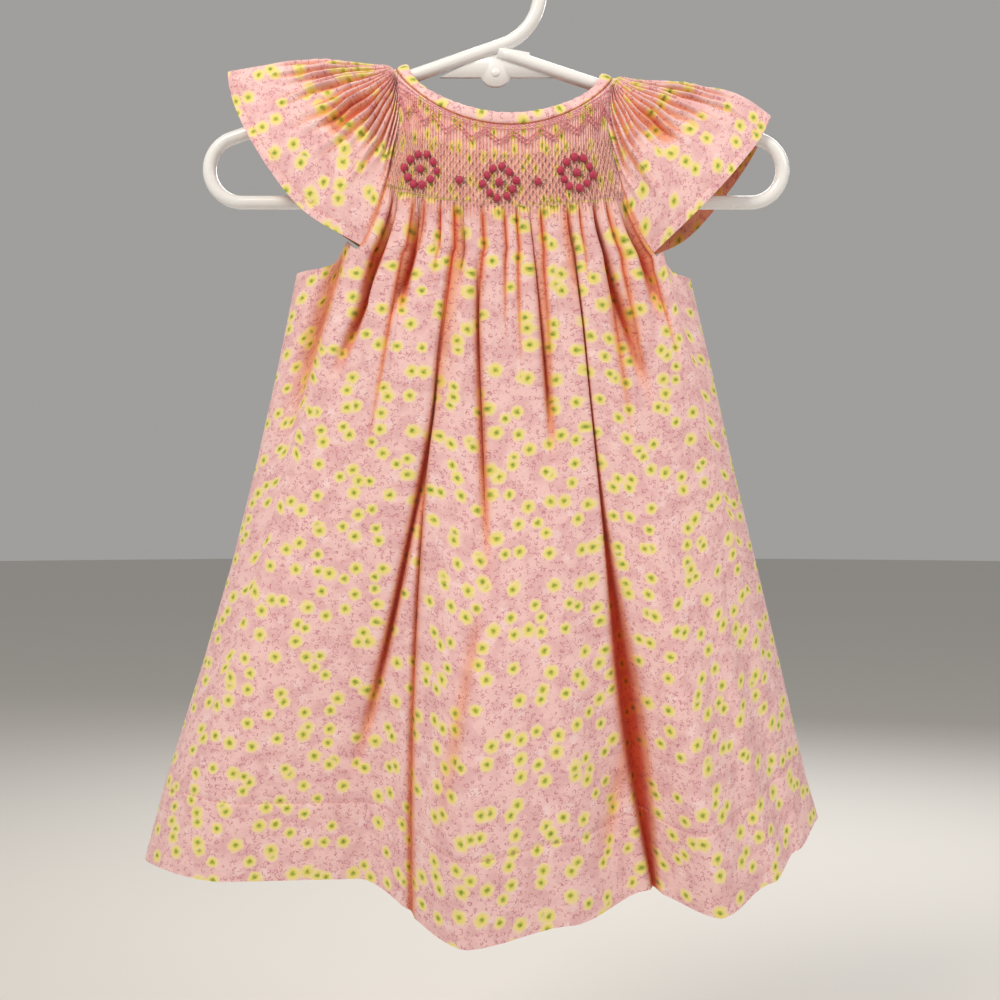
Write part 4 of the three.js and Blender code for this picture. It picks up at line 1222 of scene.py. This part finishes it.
        # Painted shade in the valleys, at the dent and beside both seams
        valley = (self.valley_shade * (1 - ridge) ** 1.5 * fade * edge + self.dent_shade * dent
                  + self.seam_shade * (1 - edge) * ease(down, 0, 0.1) * (1 - ease(down, 0.8, 1.0)))
        height = self.relief * tall * ridge * fade * edge * swell - self.dent_deep * dent
        return height, np.clip(valley, 0, 1)

    def build(self, material: bpy.types.Material) -> bpy.types.Object:
        """Makes the sleeve's shell with its pleats, cloth thickness and narrow hem."""
        total = self.front_pleats + self.back_pleats
        count = np.linspace(0, total, total * self.per_pleat + 1)
        share = np.where(count <= self.front_pleats, count / self.front_pleats - 1,
                         (count - self.front_pleats) / self.back_pleats)
        down = np.concatenate([np.linspace(0, 0.95, self.rows), [0.97, 0.985, 1.0]])
        grid_count, grid_down = np.meshgrid(count, down)
        grid_share = np.meshgrid(share, down)[0]
        base = self.plain(grid_share, grid_down)
        normal = unit(np.cross(np.gradient(base, axis=0), np.gradient(base, axis=1))) * self.hand.value
        height, valley = self.pleating(grid_count, grid_down)
        outer = base + normal * (CLOTH_LIFT + height)[..., None]
        arc = np.concatenate([np.zeros((len(down), 1)),
                              np.cumsum(np.linalg.norm(np.diff(base, axis=1), axis=-1), axis=1)], axis=1)
        arc = arc - arc[:, [self.front_pleats * self.per_pleat]]
        fall = np.concatenate([[0], np.cumsum(np.linalg.norm(np.diff(base, axis=0), axis=-1).mean(1))])
        radius = (self.unroll + fall)[:, None]
        nearest = np.round(count - 0.5)
        arc = arc + (5 * np.sin(nearest * 2.4))[None, :] * (1 - ease(down, 0.35, 0.8))[:, None]
        turn = arc / radius
        aside = self.print_aside * self.hand.value
        uv = np.stack([radius * np.sin(turn) + aside, -radius * np.cos(turn)], -1)
        thick = np.broadcast_to(lerp(self.cloth, self.edge_cloth, ease(down, 0.93, 0.95))[:, None],
                                height.shape)
        seam = np.broadcast_to((SEAM_ZERO + fall[-1] - self.stitched_at - fall)[:, None], height.shape)
        return cloth_shell(self.name, outer, normal, thick, uv, valley, seam,
                           self.hand is Hand.RIGHT, material)


@dataclass
class NeckBinding:
    """A folded strip of the dress's own cloth round the neck, crowned and a little puckered."""

    ring: NeckRing
    width: float = 6.5
    half: float = 1.1
    crown: float = 1.5
    steps: int = 420
    sides: int = 18
    gap: float = math.radians(0.4)
    round_power: float = 0.8
    pucker_reach: float = 0.35
    print_at: tuple[float, float] = (900.0, 60.0)
    seam_shade: float = 0.5

    def build(self, material: bpy.types.Material) -> bpy.types.Object:
        """Carries a rounded section round the ring.

        Args:
            material: the printed cotton.

        Returns:
            The binding: across = w/2 (1 - cos p), out = h sin p^0.8 plus puckers that come and go along it.
        """
        angle = np.linspace(-math.pi / 2 + self.gap, 1.5 * math.pi - self.gap, self.steps)
        point, across, out = self.ring.frame(angle)
        turn = full_turn(self.sides)[None, :]
        pucker = 0.14 * np.sin(angle * 46 + 1.5 * np.sin(angle * 7)) + 0.1 * np.sin(angle * 83)
        swell = self.crown + pucker[:, None] * (np.sin(turn) > 0)
        height = swell * np.sign(np.sin(turn)) * np.abs(np.sin(turn)) ** self.round_power
        height = np.where(np.sin(turn) > 0, height, height * self.half / self.crown)
        half = (self.width - RING_TUCK) / 2 + self.pucker_reach * pucker[:, None]
        reach = RING_TUCK + half * (1 - np.cos(turn))
        rings = point[:, None] + across[:, None] * reach[..., None] + out[:, None] * height[..., None]
        points, faces = closed_tube(rings)
        piece = put_mesh("neck_binding_strip", points, turn_over(faces), material)
        along = arc_length(point)
        wrap = np.linspace(0, 2 * self.width, self.sides, endpoint=False)
        x, y = self.print_at
        add_uv(piece, np.stack(np.broadcast_arrays(along[:, None] + x, wrap[None, :] + y), -1))
        # Painted shade along the edge where the binding meets the cloth
        seam_painted_shade = ease(np.cos(np.broadcast_to(turn, height.shape)), 0.72, 1.0)
        add_floats(piece, "fold", seam_painted_shade * self.seam_shade)
        return piece


@dataclass
class Embroidery:
    """The floss: chevron and cable rows, the honeycomb, bullion rosettes and leaves."""

    smocking: Smocking
    strand: float = 0.27
    knot: float = 1.95
    rosettes: tuple = ((-37.7, -114.4, -12.0), (1.5, -121.5, 5.0), (39.8, -116.0, -11.0))
    singles: tuple = ((-18.2, -120.2), (20.6, -121.1))
    rosette_wide: float = 8.4
    rosette_high: float = 8.9
    knots_round: int = 10
    first_knot: float = 112.0
    rosette_power: float = 1.3
    knot_long: float = 1.08
    knot_flat: float = 0.72
    wrap: float = 0.13
    arch: float = 0.45
    pair_rows: float = 0.016

    def stitches(self, name: str, start: np.ndarray, end: np.ndarray, out: np.ndarray, radius: float,
                 material: bpy.types.Material) -> bpy.types.Object:
        """Many short stitches as one mesh.

        Args:
            name: the piece's name.
            start: where each stitch comes up, array (n, 3).
            end: where it goes down.
            out: normals of the cloth.
            radius: half the floss's width.
            material: the floss.

        Returns:
            Sausages of four rings of five: path a + (b - a) s + out * 0.45 * 4 s (1 - s), radius
            swelling in the middle, both ends narrow and closed.
        """
        s = np.array([0.0, 0.28, 0.72, 1.0])
        swell = np.array([0.35, 1.0, 1.0, 0.35])
        path = lerp(start[:, None], end[:, None], s[None, :, None])
        path = path + out[:, None] * (self.arch * 4 * s * (1 - s))[None, :, None]
        along = unit(end - start)
        side = unit(np.cross(along, out))
        turn = full_turn(5)[None, :, None]
        ring = np.cos(turn) * side[:, None] + np.sin(turn) * out[:, None]
        body = path[:, :, None] + ring[:, None] * (radius * swell)[None, :, None, None]
        count = len(start)
        faces = grid_faces(4, 5, wrap=True)[:, ::-1]
        caps = np.array([[0, 1, 2, 3, 4], [19, 18, 17, 16, 15]])
        base = (np.arange(count) * 20)[:, None, None]
        quads = (faces[None] + base).reshape(-1, 4).tolist()
        ends = (caps[None] + base).reshape(-1, 5).tolist()
        return put_mesh(name, body.reshape(-1, 3), quads + ends, material)

    def row(self, rows: list[float], wave: float, period: int, skip: int = 1) -> tuple:
        """Stitches from ridge to ridge along rows that may zigzag.

        Args:
            rows: the smocked rows.
            wave: height of the zigzag, in rows.
            period: pleats in one zigzag.
            skip: pleats from one stitch to the next.

        Returns:
            Starts, ends and normals.
        """
        total = self.smocking.body.pleats
        first = np.arange(1, total - 2, skip) + 0.5
        made = []
        for row in rows:
            level = [row + wave * np.abs(((k / period) % 1.0) * 2 - 1) for k in (first - 0.5, first + 0.5)]
            made.append(self.span((first, level[0]), (first + 1, level[1]), 0.12))
        return tuple(np.concatenate(column) for column in zip(*made))

    def span(self, here: tuple, there: tuple, lift: float) -> tuple:
        """Stitches from one pleat and row to another: starts, ends and the normals at the starts."""
        start, out = self.smocking.place(*here, lift)
        return start, self.smocking.place(*there, lift)[0], out

    def honeycomb(self) -> tuple:
        """Stitches that draw ridges together in pairs, a pair further along on every next row."""
        smocking, total, apart = self.smocking, self.smocking.body.pleats, self.pair_rows / 2
        made = []
        count = int(round((1 - smocking.honeycomb_from) / smocking.row_pitch)) + 1
        for number in range(count):
            first = np.arange(2 + (number + 1) % 2, total - 3, 2) - 0.5
            level = np.full_like(first, smocking.honeycomb_from + number * smocking.row_pitch)
            for drop in (-apart, apart):
                made.append(self.span((first, level + drop), (first + 1, level + drop), 0.05))
            if number < count - 1:
                below = level + smocking.row_pitch - apart
                made.append(self.span((first + 1, level + apart), (first + 1, below), 0.0))
        return tuple(np.concatenate(column) for column in zip(*made))

    def on_cloth(self, x: np.ndarray, z: np.ndarray, lift: float) -> tuple[np.ndarray, np.ndarray]:
        """Points level with the pleats' ridges at places seen from the front.

        Args:
            x: places across.
            z: heights.
            lift: height over the ridges.

        Returns:
            Points and normals.
        """
        share, down = np.meshgrid(np.linspace(0.0, 1.0, 421), np.linspace(0.1, 0.8, 200))
        out = self.smocking.body.yoke_normal(share, down).reshape(-1, 3)
        rise = CLOTH_LIFT + self.smocking.relief + lift
        base = self.smocking.body.yoke(share, down).reshape(-1, 3) + out * rise
        near = np.argmin((base[:, 0] - x[:, None]) ** 2 + (base[:, 2] - z[:, None]) ** 2, axis=1)
        return base[near], out[near]

    def knots(self, material: bpy.types.Material) -> bpy.types.Object:
        """Bullion knots: wrapped beads of floss, ten round each rosette, one in it and two between.

        Args:
            material: the raspberry floss.

        Returns:
            One mesh of closed beads, flat and a little long, whose width r (1 + 0.13 cos(10 a + b)),
            with a the latitude and b the longitude, winds round them like the floss of a bullion.
        """
        rng = np.random.default_rng(SEED)
        spots = []
        for x, z, lean in self.rosettes:
            angle = np.radians(self.first_knot - 360.0 / self.knots_round * np.arange(self.knots_round))
            angle = angle + rng.normal(0, 0.03, self.knots_round)
            power = self.rosette_power
            size = (np.abs(np.cos(angle)) ** power + np.abs(np.sin(angle)) ** power) ** (-1 / power)
            wide, high = self.rosette_wide * size * np.cos(angle), self.rosette_high * size * np.sin(angle)
            cos, sin = math.cos(math.radians(lean)), math.sin(math.radians(lean))
            spots.extend(zip(x + wide * cos - high * sin, z + wide * sin + high * cos))
            spots.append((x, z))
        spots.extend(self.singles)
        place = np.array(spots)
        centre, out = self.on_cloth(*place.T, 0.55)
        grid_lat, grid_lon = np.meshgrid(np.linspace(0, np.pi, 13), full_turn(16), indexing="ij")
        parts = []
        for middle, normal in zip(centre, out):
            tilt = rng.uniform(-0.5, 0.5)
            side = unit(np.cross(normal, [0.0, 0.0, 1.0]))
            up = np.cross(side, normal)
            long = side * math.sin(tilt) + up * math.cos(tilt)
            wide = np.cross(long, normal)
            wrap = 1 + self.wrap * np.cos(10 * grid_lat + grid_lon) * np.sin(grid_lat) ** 0.5
            size = self.knot * rng.uniform(0.93, 1.07)
            bead = (np.cos(grid_lat)[..., None] * long * size * self.knot_long
                    + (wrap * np.sin(grid_lat) * np.cos(grid_lon))[..., None] * wide * size
                    + (wrap * np.sin(grid_lat) * np.sin(grid_lon))[..., None] * normal * size
                    * self.knot_flat)
            parts.append(closed_bead(middle + bead))
        points, faces = join_parts(parts)
        return put_mesh("bullion_knots", points, faces, material)

    def leaves(self, material: bpy.types.Material) -> bpy.types.Object:
        """Small leaf stitches beside each single knot and each rosette's centre."""
        spots = list(self.singles) + [(x, z) for x, z, _ in self.rosettes]
        starts, ends = [], []
        for x, z in spots:
            for hand in (-1, 1):
                for rise in (-1.1, 1.1):
                    starts.append((x + hand * 1.8, z + rise * 0.4))
                    ends.append((x + hand * 3.7, z + rise * 1.2))
        a, out = self.on_cloth(*np.array(starts).T, 0.15)
        b, _ = self.on_cloth(*np.array(ends).T, 0.15)
        keep = np.linalg.norm(b - a, axis=1) > 0.5
        return self.stitches("leaf_stitches", a[keep], b[keep], out[keep], self.strand, material)


@dataclass
class HangerPiece:
    """The hanger: one round tube bent into hook, arms, ends and bar, with a web under its apex."""

    form: HangerForm
    sides: int = 28
    web_half: float = 1.2
    web_box: tuple = (-29, 29.4, -62.4, -48)
    web_tab: tuple = (-0.5, 6.7 * 1.15, 4.9, 2.6)
    fin: tuple = ((6, -50), (6, -47.6), (17, -49.6), (17, -54.8))
    fin_half: float = 0.8
    soft_edge: float = 0.35
    dome_at: tuple = (-0.5, -60.1)
    dome_radius: float = 2.3
    dome_rise: float = 1.1
    rib_line: tuple = ((-12.0, -1.2, -50.2), (-2.8, -1.2, -47.3), (-2.2, -1.2, -47.3), (6.0, -1.2, -50.6))

    def arc(self, x: float, z: float, radius: float, start: float, end: float, steps: int) -> np.ndarray:
        """Points of an arc in the plane y = 0; angles in degrees from +X towards +Z."""
        turn = np.radians(np.linspace(start, end, steps))
        return vec(x + radius * np.cos(turn), 0.0, z + radius * np.sin(turn))

    def end_bend(self, hand: int, arm: tuple) -> np.ndarray:
        """The rounded end between an arm and the bar, from the arm down to the bar."""
        slope = math.atan2(arm[1] - arm[3], abs(arm[2] - arm[0]))
        radius = (arm[3] - self.form.bar_z) / (1 + math.cos(slope))
        start = 90 - math.degrees(slope)
        ends = (start, -90) if hand > 0 else (180 - start, 270)
        return self.arc(hand * self.form.end_x, self.form.bar_z + radius, radius, *ends, 30)

    def tube(self, path: np.ndarray, tip: bool) -> tuple[np.ndarray, list]:
        """A tube along a path, with a rounded tip where asked: radius sqrt(1 - (1 - s / r)^2)."""
        near = np.clip(arc_length(path) / self.form.tube, 0.02, 1) if tip else np.ones(len(path))
        radius = self.form.tube * np.sqrt(1 - (1 - near) ** 2)
        points, faces = closed_tube(tube_rings(path, BACKWARD, radius, self.sides))
        return points, turn_over(faces)

    def plate(self, outline: tuple | list, half: float) -> tuple[np.ndarray, list]:
        """A flat plate in the plane y = 0 with a softened edge: four outlines, the outer two smaller."""
        shape, soft = np.array(outline, float), self.soft_edge
        centre = shape.mean(axis=0)
        inner = shape + (centre - shape) / np.linalg.norm(centre - shape, axis=1, keepdims=True) * soft
        layers = [vec(inner[:, 0], -half, inner[:, 1]), vec(shape[:, 0], -half + soft, shape[:, 1]),
                  vec(shape[:, 0], half - soft, shape[:, 1]), vec(inner[:, 0], half, inner[:, 1])]
        return closed_tube(np.stack(layers))

    def web_outline(self) -> list[tuple[float, float]]:
        """Outline of the web: a shallow triangle with a rounded tab in the middle of its foot."""
        left, right, foot, peak = self.web_box
        middle, half, drop, power = self.web_tab
        tab = [(middle + half * t, foot - drop * (1 - abs(t) ** power)) for t in np.linspace(1, -1, 25)]
        return [(0, peak), (right, foot), *tab, (left, foot)]

    def build(self, material: bpy.types.Material) -> bpy.types.Object:
        """Makes the whole hanger as one piece of several closed bodies that run into each other."""
        form = self.form
        left = self.end_bend(-1, form.left_arm)
        right = self.end_bend(1, form.right_arm)
        hook = self.arc(*form.hook, 60)
        # A few rings close to the tip let it close like a dome
        fine = self.arc(form.hook[0], form.hook[1], form.hook[2], form.hook[3], form.hook[3] - 9, 9)
        hook = np.concatenate([fine, hook[3:]])
        stem = self.arc(*form.stem, 30)[1:]
        arm_left = lerp(np.array([form.left_arm[0], 0, form.left_arm[1]]), left[0],
                        np.linspace(0.03, 0.97, 24)[:, None])
        bar = lerp(left[-1], right[-1], np.linspace(0.01, 0.99, 50)[:, None])
        arm_right = lerp(right[0], np.array([form.right_arm[0], 0, form.right_arm[1]]),
                         np.linspace(0.03, 1.0, 24)[:, None])
        path = np.concatenate([hook, stem, arm_left, left, bar, right[::-1], arm_right])
        main = self.tube(path, tip=True)
        web = self.plate(self.web_outline(), self.web_half)
        fin = self.plate(self.fin, self.fin_half)
        points, faces = join_parts([main, web, fin, self.dome(-1), self.dome(1), self.rib()])
        return put_mesh("moulded_hanger", points, faces, material)

    def dome(self, hand: int) -> tuple[np.ndarray, list]:
        """The round boss on one face of the web: -1 the front one, 1 the back one."""
        rise = np.linspace(0, 1, 6)[:, None]
        size = self.dome_radius * np.sqrt(np.clip(1 - rise**2, 0.0004, 1))
        turn = full_turn(24)
        x, z = self.dome_at
        points, faces = closed_tube(vec(x + size * np.cos(turn), hand * (
            self.web_half - 0.2 + self.dome_rise * rise), z + size * np.sin(turn)))
        return points, faces if hand < 0 else turn_over(faces)

    def rib(self) -> tuple[np.ndarray, list]:
        """The thin moulding line on the web's front, bent under the apex."""
        steps = np.linspace(0, 1, 6)[:, None]
        path = np.concatenate([lerp(np.array(self.rib_line[k]), np.array(self.rib_line[k + 1]), steps)
                               for k in (0, 2)])
        points, faces = closed_tube(tube_rings(path, BACKWARD, np.full(len(path), 0.55), 10))
        return points, turn_over(faces)


@dataclass
class BackFastening:
    """The strip over the centre-back opening and its three buttons."""

    smocking: Smocking
    half: float = 8.0
    thick: float = 1.2
    lift: float = 0.9
    radius: float = 4.8
    at: tuple = (0.12, 0.5, 0.88)
    # Columns: share of the radius, height
    profile: tuple = ((0.0, 1.7), (0.3, 1.7), (0.55, 1.75), (0.62, 1.95), (0.72, 2.3), (0.85, 2.4),
                      (0.95, 2.25), (1.0, 1.9), (1.0, 0.7), (0.85, 0.0), (0.0, 0.0))
    foot: float = 0.6
    thread_rise: float = 2.3
    thread_reach: float = 1.2
    thread_radius: float = 0.3

    def surface(self, across: np.ndarray, down: np.ndarray) -> np.ndarray:
        """Points of the plain yoke behind the strip, across in millimetres from its middle."""
        return self.smocking.body.yoke(0.5 + across / (2 * self.smocking.body.ring.half_width), down)

    def strip(self, material: bpy.types.Material) -> bpy.types.Object:
        """The strip, lying on the back with softly turned edges."""
        across, down = np.meshgrid(np.linspace(-self.half, self.half, 41), np.linspace(0.02, 1, 90))
        edge = 1 - (np.abs(across) / self.half) ** 8
        ripple = 0.07 * np.sin(down * 70 + across * 0.5)
        rise = self.lift + self.thick * (0.35 + 0.65 * edge) + ripple * edge
        base = self.surface(across, down)
        outer = base + BACKWARD * rise[..., None]
        out = np.broadcast_to(BACKWARD, outer.shape)
        uv = np.stack([across + 1300, -down * 70], -1)
        # A line of painted fold shade 1.4 mm inside each long edge
        line = np.exp(-(((np.abs(across) - self.half + 1.4) / 0.35) ** 2)) * 0.35
        thick = np.broadcast_to(self.thick * (0.35 + 0.6 * edge), across.shape)
        return cloth_shell("back_placket_strip", outer, out, thick, uv, line, np.zeros_like(across), False,
                           material)

    def buttons(self, material: bpy.types.Material) -> list[bpy.types.Object]:
        """Three turned buttons: a raised rim round a sunk middle, which the thread's cross covers."""
        radius, height = np.array(self.profile).T
        radius = radius * self.radius
        turn = full_turn(40)
        made = []
        for number, down in enumerate(self.at, 1):
            centre = self.surface(np.zeros(1), np.array([down]))[0]
            rings = vec(radius[:, None] * np.cos(turn), height[:, None], radius[:, None] * np.sin(turn))
            rings = rings + centre + BACKWARD * (self.lift + self.thick + self.foot)
            rings[0] = rings[0].mean(axis=0)
            rings[-1] = rings[-1].mean(axis=0)
            points, faces = closed_bead(rings)
            made.append(put_mesh(f"shirt_button_{number}", points, faces, material))
        return made

    def threads(self, material: bpy.types.Material) -> bpy.types.Object:
        """The cross of thread that holds each button."""
        starts, ends = [], []
        for down in self.at:
            centre = self.surface(np.zeros(1), np.array([down]))[0]
            centre = centre + BACKWARD * (self.lift + self.thick + self.thread_rise)
            for hand in (-1, 1):
                reach = np.array([self.thread_reach, 0.0, -hand * self.thread_reach])
                starts.append(centre - reach)
                ends.append(centre + reach)
        out = np.tile(BACKWARD, (len(starts), 1))
        return Embroidery(self.smocking).stitches("button_threads", np.array(starts), np.array(ends), out,
                                                  self.thread_radius, material)


@dataclass
class Studio:
    """Camera at the photograph's place, soft light and a plain pale floor."""

    camera_at: tuple = (1.79, -800.0, -278.0)
    lens: float = 56.4
    floor_z: float = -640.0
    floor_radius: float = 9000.0
    sky_strength: float = 0.4
    lamps: tuple = (("key", (-620, -900, 860), (0, 0, -220), 450, 15.4, "#FFF4E6"),
                    ("fill", (1000, -700, 500), (0, 0, -270), 600, 6.4, "#FFF4E8"),
                    ("back_light", (300, 1100, 500), (0, 0, -250), 900, 12, "#FFFFFF"))

    def area(self, name: str, place: tuple, aim: tuple, size: float, power: float, tint: str) -> None:
        """A square soft light: where it is, what it aims at, its side, its watts and its tint."""
        lamp = bpy.data.lights.new(name, "AREA")
        lamp.size = size * MM
        lamp.energy = power
        lamp.color = linear(tint)[:3]
        holder = bpy.data.objects.new(name, lamp)
        holder.location = [v * MM for v in place]
        way = holder.location - type(holder.location)([v * MM for v in aim])
        holder.rotation_euler = way.to_track_quat("Z", "Y").to_euler()
        bpy.context.scene.collection.objects.link(holder)

    def build(self) -> None:
        """Sets the camera, the lights, the world and the floor."""
        scene = bpy.context.scene
        data = bpy.data.cameras.new("camera")
        data.lens = self.lens
        data.sensor_width = 36.0
        camera = bpy.data.objects.new("camera", data)
        camera.location = [v * MM for v in self.camera_at]
        camera.rotation_euler = (math.pi / 2, 0.0, 0.0)
        scene.collection.objects.link(camera)
        scene.camera = camera
        scene.view_settings.view_transform = "Standard"
        for lamp in self.lamps:
            self.area(*lamp)
        world = bpy.data.worlds.new("studio")
        world.use_nodes = True
        sky = world.node_tree.nodes["Background"].inputs
        sky[0].default_value = linear("#F1EFEC")
        sky[1].default_value = self.sky_strength
        scene.world = world
        material = Nodes("pale_floor").finish({"Base Color": linear("#DAD7D2"), "Roughness": 0.9})
        turn = full_turn(64)
        points = vec(self.floor_radius * np.cos(turn), self.floor_radius * np.sin(turn), self.floor_z)
        put_mesh("floor", points, [list(range(64))], material)


def ride(piece: bpy.types.Object, slot: str, *nodes: str) -> bpy.types.Object:
    """Makes a piece ride on the root body and stand for its nodes."""
    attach(piece, "root")
    if nodes:
        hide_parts(*nodes)
    LOG.info("%s: %d faces", piece.name, len(piece.data.polygons))
    return piece


def split_back(panel: BodyPanel, lawn: bpy.types.Material) -> list[bpy.types.Object]:
    """Makes the two back halves from one grid, parted at the centre.

    Args:
        panel: the back's grid.
        lawn: the printed cotton.

    Returns:
        The left and the right half.
    """
    outer, *rest = panel.build()
    _, pleat = panel.columns()
    middle = int(np.argmin(np.abs(pleat - panel.smocking.body.pleats / 2)))
    halves = []
    for hand, name, span in ((-1, "back_left_cloth", slice(0, middle + 1)),
                             (1, "back_right_cloth", slice(middle, None))):
        points = outer[:, span].copy()
        points[:, -1 if hand < 0 else 0, 0] += hand * BACK_GAP / 2
        out, thick, uv, fold, seam = (values[:, span] for values in rest)
        uv = uv + np.array([hand * BACK_PRINT_STEP + BACK_PRINT_ASIDE, 0])
        halves.append(cloth_shell(name, points, out, thick, uv, fold, seam, False, lawn))
    return halves


def main() -> None:
    """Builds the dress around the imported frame, in order, and reports each piece."""
    logging.basicConfig(level=logging.INFO, format="%(message)s")
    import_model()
    Studio().build()
    lawn = PrintedLawn().make()
    white = MouldedPlastic("moulded_polystyrene", "#F3F5F6", 0.22).make()
    pearl = MouldedPlastic("polyester_button", "#F7F0EA", 0.3).make()
    pink = Floss("pink_floss", "#E88E9A", "#D06C80").make()
    straw = Floss("straw_floss", "#F3CDB0", "#E4AE92").make()
    raspberry = Floss("raspberry_floss", "#C42A52", "#9C1E40").make()
    moss = Floss("moss_floss", "#9C9470", "#7A7250").make()

    hanger = HangerForm()
    ring = NeckRing(hanger)
    front, back = front_form(ring), back_form(ring)
    ride(HangerPiece(hanger).build(white), "hanger", "hanger")

    smocking = Smocking(front, relief=1.05, tube_pleats=5.8)
    panel = BodyPanel("front_cloth", smocking, 4, 70, 60)
    cloth = ride(cloth_shell(panel.name, *panel.build(), True, lawn), "cloth", "front_panel")

    back_smocking = Smocking(back, relief=1.35, plain=2.2)
    back_panel = BodyPanel("back_cloth", back_smocking, 6, 56, 72)
    halves = split_back(back_panel, lawn)
    for piece, node in zip(halves, ("back_left", "back_right")):
        ride(piece, "cloth", node)

    left = Sleeve("sleeve_left_cloth", Hand.LEFT, 4, 1.3,
                  [(-96, -21, -134), (-118, -17, -106), (-133, -9, -77)], (-136.5, 0, -60),
                  [(-131, 9, -79), (-115, 16, -105), (-94, 18, -129.5)], front, back)
    right = Sleeve("sleeve_right_cloth", Hand.RIGHT, 8, 2,
                   [(97, -20, -137), (117, -16, -116), (134, -8, -94)], (139.5, 0, -82.6),
                   [(133, 8, -99), (119, 13, -120), (99, 17, -142)], front, back)
    sleeves = [ride(left.build(lawn), "cloth", "sleeve_left"),
               ride(right.build(lawn), "cloth", "sleeve_right")]
    binding = ride(NeckBinding(ring).build(lawn), "binding", "neck_binding")

    work = Embroidery(smocking)
    chevrons = work.row([0.1, 0.15], 0.13, 8)
    cables = work.row([0.012, 0.045, 0.078], 0.012, 2)
    floss = [ride(piece, "cloth") for piece in (
        work.stitches("chevron_rows", *chevrons, work.strand * 1.3, pink),
        work.stitches("cable_rows", *cables, work.strand * 0.85, pink),
        work.stitches("honeycomb_rows", *work.honeycomb(), work.strand, straw),
        work.knots(raspberry), work.leaves(moss))]
    fastening = BackFastening(back_smocking)
    strip = ride(fastening.strip(lawn), "cloth", "back_placket")
    buttons = [ride(piece, "button", f"button_{k}") for k, piece in enumerate(fastening.buttons(pearl), 1)]
    threads = ride(fastening.threads(straw), "button")

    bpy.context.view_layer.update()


if __name__ == "__main__":
    main()
